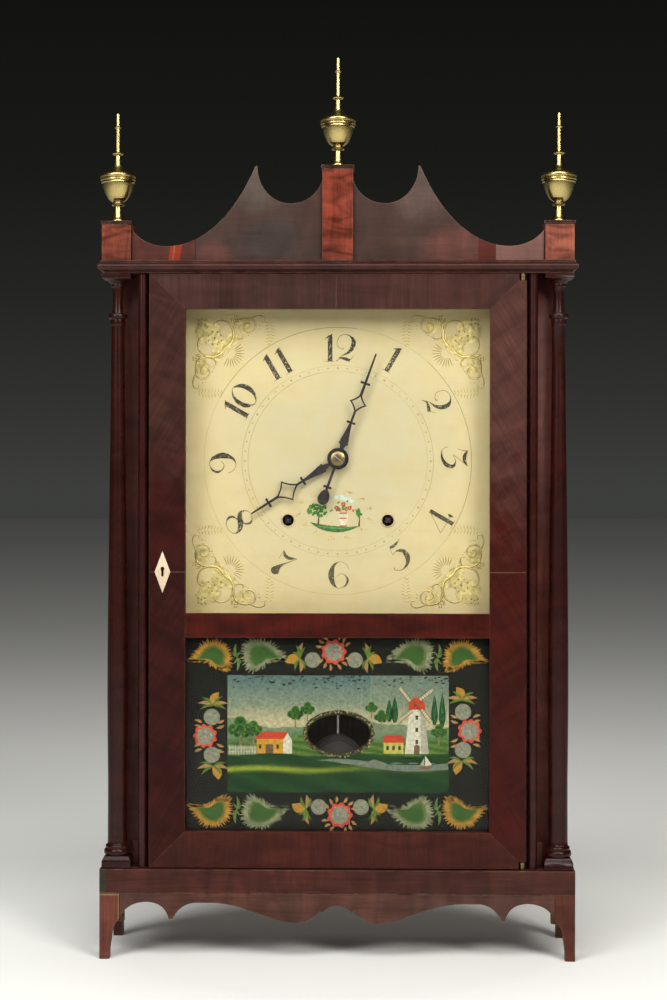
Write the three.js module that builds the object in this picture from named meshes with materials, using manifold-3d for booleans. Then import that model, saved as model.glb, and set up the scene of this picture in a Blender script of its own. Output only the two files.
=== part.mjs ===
// Pillar and scroll shelf clock: veneered case, scroll crest, glazed door, wooden thirty-hour movement.
// Millimetres. +X right, +Z up, the front faces -Y, the origin is under the middle of the case.
import * as THREE from 'three';
import { mergeVertices } from 'three/addons/utils/BufferGeometryUtils.js';
import Module from 'manifold-3d';

const wasm = await Module();
wasm.setup();

// Driving dimensions of the case
const GAP = 0.3;
const FRONT = -57;
const BACK = 57;
const BASE_HALF = 214;
const CORNICE_HALF = 216;
const CASE_HALF = 198;
const DECK_BOTTOM = 60;
const DECK_TOP = 81;
const CORNICE_BOTTOM = 618.2;
const CORNICE_TOP = 629.5;
const BEAD = { bottom: CORNICE_BOTTOM + 2, radius: 3.6, steps: 6 };
const BOARD = 12;
const APRON_THICK = 10;
const RECESS_FRONT = -25.5;
const STOP_FRONT = -34.6;
const STILE_BACK = -13;
const STILE_INNER = 160;
const PILASTER_INNER = 172.3;
const PILASTER_OUTER = 180.5;
const PILASTER_FRONT = -49;
const BACK_BOARD_FRONT = 51.3;

// Crest and pillars
const PLINTH_FRONT = -52;
const PLINTH_BACK = -26;
const PLINTH_X = 199.7;
const SIDE_PLINTH_HALF = 13.1;
const SIDE_PLINTH_TOP = 661.8;
const CENTRE_PLINTH_HALF = 13.8;
const CENTRE_PLINTH_TOP = 712;
const PLINTH_CAP = 3.6;
const CREST_FRONT = -47;
const CREST_BACK = -39;
const CREST_TOP = 702.4;
const FINIAL_Y = -39;
const PILLAR_X = 199.7;
const PILLAR_Y = -39;
const BLOCK_HALF = 13;
const BLOCK_TOP = 91.5;

// Door
const DOOR_HALF = 170;
const DOOR_BOTTOM = 81.9;
const DOOR_TOP = 617.6;
const DOOR_FRONT = -51;
const DOOR_BACK = -35;
const REBATE_FRONT = -43;
const REBATE = 4;
const STILE_WIDTH = 32.8;
const TOP_RAIL = 31.5;
const BOTTOM_RAIL = 32.7;
const MIDDLE_RAIL_BOTTOM = 289.6;
const MIDDLE_RAIL_TOP = 311.4;
const GLASS = 2;
const HINGE_X = 167;
const HINGE_Y = -48;
const HINGE_PIN = 1.6;
const KNUCKLE = 2.8;
const KNUCKLE_HEIGHT = 6.2;
const HINGE_REACH = 6;
const LOCK_Z = 348.7;
const ESCUTCHEON_X = -157.7;

// Dial, hands and movement: places are from the centre of the dial, and y is depth into the case
const DIAL_Z = 451.4;
const DIAL = { half: 155, front: -22, back: -16, low: -160, high: 162, centreHole: 6.2, windingHole: 4.7 };
const MINUTE_ANGLE = 20;
const HOUR_ANGLE = 237.5;
const PLATE = { half: 84, low: -96, high: 84, front: [0, 6], back: [40, 46] };
const ARBOR = 2;
const THIN_ARBOR = 1.5;
const DRUM_ARBOR = 2.5;
const RUNNING = 0.06;
const ROUND = 8;
const DRUM = [45.6, -56.3];
const ESCAPE = [0, 45];
const SUSPENSION = [0, 72];
const MINUTE_STUD = [-14, -14.28];
const HAMMER_ARBOR = [-14, -86];
const BELL = [0, -131];
const SWING = { rodTop: 3.5, bobCentre: -276, bobRadius: 24 };

// Tooth counts: going train 2.5, 2, 9 and 10 to one, motion work 3 and 4 to one
const TEETH = {
  great: 40, second: 16, secondWheel: 36, centre: 18, centreWheel: 54, third: 6, thirdWheel: 60, escape: 6,
  escapeWheel: 34, cannon: 8, minuteWheel: 24, minutePinion: 6, hourWheel: 24, strikeWheel: 54, fly: 6,
};
const TOOTH = { addendum: 0.75, dedendum: 1.2, tip: 0.07, leaf: 0.3, leafCount: 12 };
const DISTANCE = { great: 51, second: 42, centre: 32, third: 30.8, motion: 20, strike: 32 };

// Weights, pulleys and cords
const CORD = 0.9;
const CORD_Y = 16;
const BARREL = 9.4;
const PULLEY = { x: 138, z: 596, groove: 11, rim: 13.5 };
const WEIGHT = { radius: 20, bottom: 81.9, top: 202, eye: 214 };

const COLOUR = {
  mahogany: [0x6e3220, 0.35, 0], dark: [0x3a1a14, 0.35, 0], pine: [0x9a7548, 0.7, 0],
  brass: [0xc9a24a, 0.3, 1], iron: [0x2b2d33, 0.5, 0.8], glass: [0xdfe6e4, 0.05, 0],
  dial: [0xdcd2b4, 0.6, 0], bone: [0xe6dcc2, 0.5, 0], oak: [0xa7793f, 0.6, 0],
  cherry: [0x8a4f2a, 0.55, 0], cord: [0xa89674, 0.9, 0], steel: [0x8d9095, 0.35, 1],
  tablet: [0x14120f, 0.2, 0],
};

const clock = new THREE.Group();

// A closed solid from a geometry, turned the right way out.
function toSolid(geometry) {
  const bare = geometry.clone();
  for (const name of ['normal', 'uv']) bare.deleteAttribute(name);
  const merged = mergeVertices(bare, 1e-3);
  const faces = [];
  const index = merged.index.array;
  for (let i = 0; i < index.length; i += 3) {
    const [a, b, c] = [index[i], index[i + 1], index[i + 2]];
    if (a !== b && b !== c && c !== a) faces.push(a, b, c);
  }
  const vertProperties = new Float32Array(merged.attributes.position.array);
  const make = (list) =>
    new wasm.Manifold(new wasm.Mesh({ numProp: 3, vertProperties, triVerts: new Uint32Array(list) }));
  const solid = make(faces);
  return solid.volume() > 0 ? solid : make(faces.map((_, i) => faces[i - (i % 3) + [0, 2, 1][i % 3]]));
}

function join(...pieces) {
  return pieces.reduce((whole, piece) => whole.add(piece));
}

function cut(solid, ...tools) {
  return tools.reduce((left, tool) => left.subtract(tool), solid);
}

// Adds one named mesh to the clock, or to a group that stands elsewhere.
function add(name, finish, solid, parent = clock) {
  const mesh = solid.getMesh();
  const geometry = new THREE.BufferGeometry();
  geometry.setAttribute('position', new THREE.BufferAttribute(new Float32Array(mesh.vertProperties), 3));
  geometry.setIndex(new THREE.BufferAttribute(new Uint32Array(mesh.triVerts), 1));
  const [color, roughness, metalness] = COLOUR[finish];
  const clear = finish === 'glass' ? { transparent: true, opacity: 0.3 } : {};
  const material = new THREE.MeshStandardMaterial({ color, roughness, metalness, ...clear });
  const piece = new THREE.Mesh(geometry, material);
  piece.name = name;
  parent.add(piece);
}

function box(x0, x1, y0, y1, z0, z1) {
  const block = new THREE.BoxGeometry(x1 - x0, y1 - y0, z1 - z0);
  return toSolid(block.translate((x0 + x1) / 2, (y0 + y1) / 2, (z0 + z1) / 2));
}

function outline(points) {
  return new THREE.Shape(points.map(([a, b]) => new THREE.Vector2(a, b)));
}

// A shape drawn in x and z, extruded in depth from y0 to y1.
function board(shape, y0, y1, curveSegments = 8) {
  const slab = new THREE.ExtrudeGeometry(shape, { depth: y1 - y0, bevelEnabled: false, curveSegments });
  return toSolid(slab.rotateX(Math.PI / 2).translate(0, y1, 0));
}

// A shape drawn in x and y, extruded upwards.
function post(shape, z0, z1, curveSegments = 8) {
  const prism = new THREE.ExtrudeGeometry(shape, { depth: z1 - z0, bevelEnabled: false, curveSegments });
  return toSolid(prism.translate(0, 0, z0));
}

// A shape drawn in y and z, extruded sideways.
function side(shape, x0, x1, curveSegments = 8) {
  const slab = new THREE.ExtrudeGeometry(shape, { depth: x1 - x0, bevelEnabled: false, curveSegments });
  const turn = new THREE.Matrix4().makeBasis(
    new THREE.Vector3(0, 1, 0), new THREE.Vector3(0, 0, 1), new THREE.Vector3(1, 0, 0));
  return toSolid(slab.applyMatrix4(turn).translate(x0, 0, 0));
}

// A turned solid about a vertical axis, from [radius, height] pairs that close on the axis.
function turned(profile, x, y, z, segments = 16) {
  const closed = [[0, profile[0][1]], ...profile, [0, profile[profile.length - 1][1]]];
  const lathe = new THREE.LatheGeometry(closed.map(([r, h]) => new THREE.Vector2(r, h)), segments);
  return toSolid(lathe.rotateX(Math.PI / 2).translate(x, y, z));
}

// A turned solid about an axis that runs front to back, from [radius, y] pairs.
function spindle([x, z], profile, segments = ROUND) {
  const closed = [[0, profile[0][1]], ...profile, [0, profile[profile.length - 1][1]]];
  const lathe = new THREE.LatheGeometry(closed.map(([r, h]) => new THREE.Vector2(r, h)), segments);
  return toSolid(lathe.translate(x, 0, z));
}

function rod(centre, radius, y0, y1, segments = ROUND) {
  return spindle(centre, [[radius, y0], [radius, y1]], segments);
}

// A bore that a shaft of the given radius runs in, so that the flats clear the shaft's corners.
function bore(centre, radius, y0, y1, segments = ROUND) {
  return rod(centre, (radius + RUNNING) / Math.cos(Math.PI / segments), y0, y1, segments);
}

// A board with a moulded edge on its front and sides: [inset, height] pairs from the bottom up.
function mouldedSlab(halfX, y0, y1, levels, centreX = 0, insetBack = false) {
  const positions = [];
  const faces = [];
  for (const [inset, z] of levels) {
    const back = insetBack ? y1 - inset : y1;
    const ring = [[-halfX + inset, y0 + inset], [halfX - inset, y0 + inset], [halfX - inset, back],
      [-halfX + inset, back]];
    for (const [x, y] of ring) positions.push(centreX + x, y, z);
  }
  for (let level = 0; level + 1 < levels.length; level += 1) {
    for (let k = 0; k < 4; k += 1) {
      const [a, b] = [level * 4 + k, level * 4 + ((k + 1) % 4)];
      faces.push(a, b, b + 4, a, b + 4, a + 4);
    }
  }
  const top = (levels.length - 1) * 4;
  faces.push(0, 2, 1, 0, 3, 2, top, top + 1, top + 2, top, top + 2, top + 3);
  const slab = new THREE.BufferGeometry();
  slab.setAttribute('position', new THREE.Float32BufferAttribute(positions, 3));
  slab.setIndex(faces);
  return toSolid(slab);
}

function mirrored(solid) {
  return solid.mirror([1, 0, 0]);
}

// A point at two given distances from two others; turn is +1 or -1 for the side it lies on.
function meet([ax, az], ra, [bx, bz], rb, turn) {
  const span = Math.hypot(bx - ax, bz - az);
  const along = (ra * ra - rb * rb + span * span) / (2 * span);
  const off = turn * Math.sqrt(ra * ra - along * along);
  const [ux, uz] = [(bx - ax) / span, (bz - az) / span];
  return [ax + ux * along - uz * off, az + uz * along + ux * off];
}

function polar(angle, radius) {
  return [radius * Math.cos(angle), radius * Math.sin(angle)];
}

function bearing([ax, az], [bx, bz]) {
  return Math.atan2(bz - az, bx - ax);
}

// A toothed disc with straight-sided teeth and a V between them. One tooth stands at the phase angle.
function gear(centre, teeth, module, y0, y1, phase) {
  const pitch = (teeth * module) / 2;
  const step = (2 * Math.PI) / teeth;
  const tip = pitch + TOOTH.addendum * module;
  const root = pitch - TOOTH.dedendum * module;
  const points = [];
  for (let k = 0; k < teeth; k += 1) {
    const middle = phase + k * step;
    points.push(polar(middle - TOOTH.tip * step, tip), polar(middle + TOOTH.tip * step, tip));
    if (teeth < TOOTH.leafCount) points.push(polar(middle + TOOTH.leaf * step, root));
    points.push(polar(middle + (teeth < TOOTH.leafCount ? 1 - TOOTH.leaf : 0.5) * step, root));
  }
  const disc = board(outline(points), y0, y1);
  return disc.translate([centre[0], 0, centre[1]]);
}

function meshing(wheelAt, wheelTeeth, pinionAt, pinionTeeth, distance) {
  const angle = bearing(wheelAt, pinionAt);
  return {
    module: (2 * distance) / (wheelTeeth + pinionTeeth),
    wheelPhase: angle,
    pinionPhase: angle + Math.PI + Math.PI / pinionTeeth,
  };
}

function base() {
  const apron = new THREE.Shape();
  apron.moveTo(0, 49);
  apron.quadraticCurveTo(-8, 48.6, -13.6, 42.8);
  apron.lineTo(-15, 44.4);
  apron.quadraticCurveTo(-24, 33.4, -38, 33.1);
  apron.bezierCurveTo(-60, 34, -84, 50.8, -112, 51);
  apron.lineTo(-128, 51);
  apron.quadraticCurveTo(-141, 50, -148, 36.2);
  apron.lineTo(-151.2, 36.2);
  apron.quadraticCurveTo(-155, 51.6, -172, 51.6);
  apron.quadraticCurveTo(-189, 51, -195.7, 37.5);
  apron.lineTo(-195.7, DECK_BOTTOM - GAP);
  apron.lineTo(0, DECK_BOTTOM - GAP);
  const half = board(apron, FRONT, FRONT + APRON_THICK, 7);
  add('front_apron', 'mahogany', join(half, mirrored(half)));

  const foot = outline([[-214, 0], [-206.4, 0], [-204.2, 10], [-203, 20], [-202.3, 26], [-199.8, 31.7],
    [-196, 36.5], [-196, DECK_BOTTOM - GAP], [-214, DECK_BOTTOM - GAP]]);
  const bracket = new THREE.Shape();
  bracket.moveTo(FRONT + 1, 0);
  bracket.lineTo(FRONT + 11, 0);
  bracket.quadraticCurveTo(FRONT + 12, 30, FRONT + 24, 42);
  bracket.quadraticCurveTo(0, 53, BACK - 24, 42);
  bracket.quadraticCurveTo(BACK - 13, 30, BACK - 11, 0);
  bracket.lineTo(BACK, 0);
  bracket.lineTo(BACK, DECK_BOTTOM - GAP);
  bracket.lineTo(FRONT + 1, DECK_BOTTOM - GAP);
  const left = join(board(foot, FRONT, FRONT + APRON_THICK), side(bracket, -BASE_HALF, -BASE_HALF + 9),
    box(-BASE_HALF + 8, -193, FRONT + APRON_THICK + GAP, FRONT + 19, 31.5, DECK_BOTTOM - GAP));
  add('base_side_left', 'mahogany', left);
  add('base_side_right', 'mahogany', mirrored(left));

  add('deck_board', 'mahogany', cut(box(-BASE_HALF, BASE_HALF, FRONT, BACK, DECK_BOTTOM, DECK_TOP),
    pinBore(DECK_TOP - HINGE_REACH, DECK_TOP + 1)));
}

function pin(z0, z1, radius = HINGE_PIN) {
  return turned([[radius, 0], [radius, z1 - z0]], HINGE_X, HINGE_Y, z0, ROUND);
}

function pinBore(z0, z1) {
  return pin(z0, z1, (HINGE_PIN + RUNNING) / Math.cos(Math.PI / ROUND));
}

function caseBox() {
  const low = DECK_TOP + GAP;
  const high = CORNICE_BOTTOM - GAP;
  const nose = (PILASTER_OUTER - PILASTER_INNER) / 2;
  const noseX = -(PILASTER_OUTER + PILASTER_INNER) / 2;
  const strip = new THREE.Shape();
  strip.moveTo(-CASE_HALF, RECESS_FRONT);
  strip.lineTo(-PILASTER_OUTER, RECESS_FRONT);
  strip.lineTo(-PILASTER_OUTER, PILASTER_FRONT + nose);
  strip.absarc(noseX, PILASTER_FRONT + nose, nose, Math.PI, 2 * Math.PI, false);
  strip.lineTo(-PILASTER_INNER, STOP_FRONT);
  strip.lineTo(-STILE_INNER, STOP_FRONT);
  strip.lineTo(-STILE_INNER, STILE_BACK);
  strip.lineTo(-CASE_HALF, STILE_BACK);
  const footBlock = box(-PILLAR_X + BLOCK_HALF + GAP, -PILASTER_OUTER + 0.5, RECESS_FRONT - 4,
    RECESS_FRONT + 1, low, low + 21);
  const stile = join(post(strip, low, high, 6), footBlock);
  const strike = box(-PILASTER_OUTER + 1, -PILASTER_INNER + 1, -43.6, -37.4, LOCK_Z - 6.5, LOCK_Z + 6.5);
  add('front_stile_left', 'dark', cut(stile, strike));
  add('front_stile_right', 'dark', mirrored(stile));

  const wall = box(-CASE_HALF, -CASE_HALF + BOARD, STILE_BACK + GAP, BACK_BOARD_FRONT - GAP, low, high);
  const bracket = box(-CASE_HALF + BOARD - 1, -PULLEY.x + 8, 22, 34, PULLEY.z - 9, PULLEY.z + 12);
  const wallLeft = cut(join(wall, bracket), bore([-PULLEY.x, PULLEY.z], THIN_ARBOR, 20, 36));
  add('case_side_left', 'mahogany', wallLeft);
  add('case_side_right', 'mahogany', mirrored(wallLeft));

  const rails = [-1, 1].map((hand) => {
    const x = [hand * 52, hand * 68].sort((a, b) => a - b);
    return box(x[0], x[1], PLATE.back[1] + GAP, BACK_BOARD_FRONT + 1, DIAL_Z - 120, high - 1);
  });
  const back = box(-CASE_HALF, CASE_HALF, BACK_BOARD_FRONT, BACK, low, high);
  add('back_board', 'pine', cut(join(back, ...rails), bore([BELL[0], DIAL_Z + BELL[1]], 3, 50, 58)));

  const levels = [[5, CORNICE_BOTTOM], [5, BEAD.bottom]];
  for (let k = 0; k <= BEAD.steps; k += 1) {
    const angle = -Math.PI / 2 + (Math.PI * k) / BEAD.steps;
    levels.push([BEAD.radius * (1 - Math.cos(angle)), BEAD.bottom + BEAD.radius * (1 + Math.sin(angle))]);
  }
  levels.push([2.2, BEAD.bottom + 2 * BEAD.radius], [2.2, CORNICE_TOP]);
  add('cornice', 'dark', cut(mouldedSlab(CORNICE_HALF, FRONT, BACK, levels),
    pinBore(CORNICE_BOTTOM - 1, CORNICE_BOTTOM + HINGE_REACH)));
}

function crest() {
  const low = CORNICE_TOP + GAP;
  const scroll = new THREE.Shape();
  scroll.moveTo(0, low);
  scroll.lineTo(-186, low);
  scroll.lineTo(-186, 657.8);
  scroll.bezierCurveTo(-178, 647.5, -167, 643, -154, 643);
  scroll.bezierCurveTo(-133.5, 643, -99.4, 657, -75, 714.4);
  scroll.lineTo(-72.2, 715);
  scroll.bezierCurveTo(-72.4, 697, -60, 681.6, -42.7, 681.6);
  scroll.bezierCurveTo(-29, 681.6, -18, 690, -14.2, CREST_TOP);
  scroll.lineTo(0, CREST_TOP);
  const halfScroll = board(scroll, CREST_FRONT, CREST_BACK, 7);
  add('scroll_board', 'dark', join(halfScroll, mirrored(halfScroll)));

  const half = CENTRE_PLINTH_HALF;
  const block = box(-half, half, PLINTH_FRONT, PLINTH_BACK, low, CENTRE_PLINTH_TOP);
  const slot = box(-half - 1, half + 1, CREST_FRONT - GAP, CREST_BACK + GAP, low - 1, CREST_TOP + GAP);
  add('plinth_centre', 'mahogany', capped(cut(block, slot), 0, half, CENTRE_PLINTH_TOP));
  for (const [name, hand] of [['plinth_left', -1], ['plinth_right', 1]]) {
    const x = hand * PLINTH_X;
    const plinth = box(x - SIDE_PLINTH_HALF, x + SIDE_PLINTH_HALF, PLINTH_FRONT, PLINTH_BACK, low,
      SIDE_PLINTH_TOP);
    add(name, 'mahogany', capped(plinth, x, SIDE_PLINTH_HALF, SIDE_PLINTH_TOP));
  }

  const finial = [[6.1, 0], [5.8, 2], [3.9, 7.4], [3.4, 13.6], [6, 15], [4.7, 17.3], [9.4, 21.2], [12.9, 28.5],
    [14.5, 34.6], [16.1, 37.6], [16.4, 41.8], [13.6, 44.2], [8.4, 46.2], [5.2, 50], [3, 59.6], [5.2, 61.8],
    [2.5, 64], [2.3, 84.4], [3.1, 85.8], [2, 98.2]];
  const stand = PLINTH_CAP + GAP;
  add('finial_centre', 'brass', turned(finial, 0, FINIAL_Y, CENTRE_PLINTH_TOP + stand, 12));
  add('finial_left', 'brass', turned(finial, -PLINTH_X, FINIAL_Y, SIDE_PLINTH_TOP + stand, 12));
  add('finial_right', 'brass', turned(finial, PLINTH_X, FINIAL_Y, SIDE_PLINTH_TOP + stand, 12));
}

function capped(block, x, half, z) {
  const levels = [[1, z - 0.5], [1, z], [0, z + 0.8], [0, z + PLINTH_CAP]];
  const cap = mouldedSlab(half + 1, PLINTH_FRONT - 1, PLINTH_BACK + 1, levels, x, true);
  return join(block, cap);
}

function pillars() {
  const bottom = DECK_TOP + GAP;
  const top = CORNICE_BOTTOM - GAP;
  const shaft = [[9.6, BLOCK_TOP - 1], [12.2, 93.6], [11.6, 97.6], [10.4, 99.6], [8.9, 102], [8.7, 160],
    [9.3, 235], [7.9, 395], [5.9, 571], [6.7, 572.4], [6.7, 577.4], [8.8, 578.4], [8.5, 582.2], [5.1, 583],
    [4.5, 595], [5.1, 606], [6.2, 607.4], [7.4, 610], [11.6, 613.6]];
  const [near, far] = [PILLAR_Y - BLOCK_HALF, PILLAR_Y + BLOCK_HALF];
  const chamfer = [[0, bottom], [0, 87], [2, BLOCK_TOP]];
  const block = mouldedSlab(BLOCK_HALF, near, far, chamfer, -PILLAR_X, true);
  const plate = box(-PILLAR_X - BLOCK_HALF, -PILLAR_X + BLOCK_HALF, near, far, 613.4, top);
  const pillar = join(turned(shaft, -PILLAR_X, PILLAR_Y, 0, 12), block, plate);
  add('pillar_left', 'dark', pillar);
  add('pillar_right', 'dark', mirrored(pillar));
}

function door() {
  const inner = DOOR_HALF - STILE_WIDTH;
  const section = outline([[-DOOR_HALF, DOOR_FRONT], [-inner, DOOR_FRONT], [-inner, REBATE_FRONT],
    [-inner - REBATE, REBATE_FRONT], [-inner - REBATE, DOOR_BACK], [-DOOR_HALF, DOOR_BACK]]);
  const stile = post(section, DOOR_BOTTOM, DOOR_TOP);
  const lockRoom = box(-DOOR_HALF - 1, -DOOR_HALF + 23, -43.2, -37.8, LOCK_Z - 5.3, LOCK_Z + 5.3);
  const keyhole = rod([ESCUTCHEON_X + 7, LOCK_Z], 1.8, -52, -42, 8);
  add('door_stile_left', 'mahogany', cut(stile, lockRoom, keyhole.translate([-7, 0, 0])));
  const bolt = box(-DOOR_HALF + 0.4, -DOOR_HALF + 16, -42.6, -38.4, LOCK_Z - 4.8, LOCK_Z + 4.8);
  add('lock_bolt', 'steel', bolt);

  const room = KNUCKLE + 0.7;
  const notch = (z0, z1) => box(HINGE_X - room, DOOR_HALF + 1, DOOR_FRONT - 1, HINGE_Y + room, z0, z1);
  const upper = DOOR_TOP - KNUCKLE_HEIGHT;
  const lower = DOOR_BOTTOM + KNUCKLE_HEIGHT;
  add('door_stile_right', 'mahogany', cut(mirrored(stile), notch(upper, DOOR_TOP + 1),
    notch(DOOR_BOTTOM - 1, lower), pinBore(upper - HINGE_REACH, upper + 1),
    pinBore(lower - 1, lower + HINGE_REACH)));
  add('hinge_upper', 'brass', join(pin(upper - HINGE_REACH + 1, CORNICE_BOTTOM + HINGE_REACH - 1),
    pin(upper + GAP, CORNICE_BOTTOM - GAP, KNUCKLE)));
  add('hinge_lower', 'brass', join(pin(DECK_TOP - HINGE_REACH + 1, lower + HINGE_REACH - 1),
    pin(DECK_TOP + GAP, lower - GAP, KNUCKLE)));

  const rail = (name, z0, z1, rebateLow, rebateHigh) => {
    const face = box(-inner + GAP, inner - GAP, DOOR_FRONT, REBATE_FRONT + 1, z0, z1);
    const tongue = box(-inner - REBATE + GAP, inner + REBATE - GAP, REBATE_FRONT + GAP, DOOR_BACK,
      z0 + rebateLow, z1 - rebateHigh);
    const trim = box(-inner, inner, REBATE_FRONT, DOOR_BACK + 1, z0 - 1, z0 + rebateLow);
    const trimTop = box(-inner, inner, REBATE_FRONT, DOOR_BACK + 1, z1 - rebateHigh, z1 + 1);
    const whole = join(face, tongue);
    add(name, 'mahogany', cut(whole, ...(rebateLow ? [trim] : []), ...(rebateHigh ? [trimTop] : [])));
  };
  rail('door_top_rail', DOOR_TOP - TOP_RAIL, DOOR_TOP, REBATE, 0);
  rail('door_middle_rail', MIDDLE_RAIL_BOTTOM, MIDDLE_RAIL_TOP, REBATE, REBATE);
  rail('door_bottom_rail', DOOR_BOTTOM, DOOR_BOTTOM + BOTTOM_RAIL, 0, REBATE);

  const pane = (name, finish, z0, z1) => {
    const edge = inner + REBATE - GAP;
    const face = REBATE_FRONT + GAP;
    add(name, finish, box(-edge, edge, face, face + GLASS, z0 - REBATE + GAP, z1 + REBATE - GAP));
  };
  pane('dial_glass', 'glass', MIDDLE_RAIL_TOP, DOOR_TOP - TOP_RAIL);
  pane('tablet_glass', 'tablet', DOOR_BOTTOM + BOTTOM_RAIL, MIDDLE_RAIL_BOTTOM);

  const diamond = outline([[ESCUTCHEON_X - 7.1, LOCK_Z], [ESCUTCHEON_X, LOCK_Z - 18.9],
    [ESCUTCHEON_X + 7.1, LOCK_Z], [ESCUTCHEON_X, LOCK_Z + 18.9]]);
  const hole = outline([[-1, -4], [1, -4], [1.1, 1.4], [1.8, 3], [1, 4.6], [-1, 4.6], [-1.8, 3],
    [-1.1, 1.4]]);
  const slot = board(hole, -53, -50).translate([ESCUTCHEON_X, 0, LOCK_Z]);
  add('escutcheon', 'bone', cut(board(diamond, DOOR_FRONT - 1.2, DOOR_FRONT - 0.3), slot));
}

// Clockwise turn about the dial's centre, as seen from the front.
function clockwise(solid, degrees) {
  return solid.rotate([0, degrees, 0]);
}

function dialAndHands(parent) {
  const shape = outline([[-DIAL.half, DIAL.low], [DIAL.half, DIAL.low], [DIAL.half, DIAL.high],
    [-DIAL.half, DIAL.high]]);
  const holes = [rod([0, 0], DIAL.centreHole, -30, 0, 16),
    ...[-1, 1].map((hand) => rod([hand * DRUM[0], DRUM[1]], DIAL.windingHole, -30, 0, 16))];
  add('dial_board', 'dial', cut(board(shape, DIAL.front, DIAL.back), ...holes), parent);

  const bar = (z, half, thick) => [[-half, z - thick], [half, z - thick], [half, z + thick],
    [-half, z + thick]];
  const hand = (y0, y1, hub, tip, cross, lozenge, low, tail) => {
    const layer = (points) => board(outline(points), y0, y1);
    const [mid, reach, wide] = lozenge;
    const ring = (grow) => [[0, mid - reach - grow], [wide + grow, mid], [0, mid + reach + grow],
      [-wide - grow, mid]];
    const blade = layer([[0, hub - 2], [2.2, hub + 2], [4.2, hub + 9], [1.2, low], [-1.2, low],
      [-4.2, hub + 9], [-2.2, hub + 2]]);
    const neck = layer([[-1.1, low - 2], [1.1, low - 2], [1.1, mid - reach - 1], [-1.1, mid - reach - 1]]);
    const needle = layer([[-1.4, mid + reach], [1.4, mid + reach], [1.2, cross + 3], [0.3, tip], [-0.3, tip],
      [-1.2, cross + 3]]);
    const parts = [blade, neck, needle, cut(layer(ring(2.2)), layer(ring(0))), layer(bar(cross, 4.6, 1)),
      layer(bar(low, 4.2, 1))];
    if (tail) {
      parts.push(layer([[-1.2, -hub + 2], [-1.2, -tail], [1.2, -tail], [1.2, -hub + 2]]),
        rod([0, -tail], 5.4, y0, y1, 16), layer(bar(-27.6, 4, 1)));
    }
    return parts;
  };
  const pipe = 4;
  const pinion = meshing([0, 0], TEETH.cannon, MINUTE_STUD, TEETH.minuteWheel, DISTANCE.motion);
  const cannon = join(...hand(-30.6, -29.4, 8, 103, 72.8, [53.6, 6.4, 5], 34.8, 37.2),
    rod([0, 0], 8.4, -30.6, -29.4, 18), rod([0, 0], 2.9, -30.4, -1.2));
  const minuteHand = join(clockwise(cannon, MINUTE_ANGLE),
    gear([0, 0], TEETH.cannon, pinion.module, -5.6, -1.2, pinion.wheelPhase));
  add('minute_hand', 'iron', cut(minuteHand, bore([0, 0], THIN_ARBOR, -32, 0)), parent);

  const hour = join(...hand(-27.2, -26, 9, 93.6, 75, [54.8, 7.2, 5.6], 37.8, 0),
    rod([0, 0], 9.8, -27.2, -26, 18));
  const hourSeat = bore([0, 0], pipe, -30, -20);
  add('hour_hand', 'iron', cut(clockwise(hour, HOUR_ANGLE), hourSeat), parent);

  const last = meshing([0, 0], TEETH.hourWheel, MINUTE_STUD, TEETH.minutePinion, DISTANCE.motion);
  const hourWheel = join(gear([0, 0], TEETH.hourWheel, last.module, -10.4, -6.8, last.wheelPhase),
    rod([0, 0], pipe, -27.6, -6.8));
  add('hour_wheel', 'cherry', cut(hourWheel, bore([0, 0], 2.9, -30, -5)), parent);

  const minuteWheel = join(
    gear(MINUTE_STUD, TEETH.minuteWheel, pinion.module, -5.2, -1.6, pinion.pinionPhase),
    gear(MINUTE_STUD, TEETH.minutePinion, last.module, -10.6, -5, last.pinionPhase));
  add('minute_wheel', 'cherry', cut(minuteWheel, bore(MINUTE_STUD, THIN_ARBOR, -12, 0)), parent);
}

function escapeTeeth() {
  const points = [];
  for (let k = 0; k < TEETH.escapeWheel; k += 1) {
    const middle = Math.PI / 2 + (k * 2 * Math.PI) / TEETH.escapeWheel;
    points.push(polar(middle - 0.1, 17), polar(middle, 20), polar(middle + 0.02, 20));
  }
  const shape = outline(points);
  const spokes = 4;
  for (let k = 0; k < spokes; k += 1) {
    const window = new THREE.Path();
    const [start, end] = [(k + 0.09) * (Math.PI / 2), (k + 0.91) * (Math.PI / 2)];
    window.absarc(0, 0, 14.6, start, end, false);
    window.absarc(0, 0, 6, end, start, true);
    window.closePath();
    shape.holes.push(window);
  }
  return shape;
}

function places() {
  const second = meet(DRUM, DISTANCE.great, [0, 0], DISTANCE.second, -1);
  const third = meet([0, 0], DISTANCE.centre, ESCAPE, DISTANCE.third, 1);
  const strikeDrum = [-DRUM[0], DRUM[1]];
  const strikeSecond = [-second[0], second[1]];
  const [flyX, flyZ] = polar((125 * Math.PI) / 180, DISTANCE.strike);
  return { second, third, strikeDrum, strikeSecond, fly: [strikeSecond[0] + flyX, strikeSecond[1] + flyZ] };
}

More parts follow.
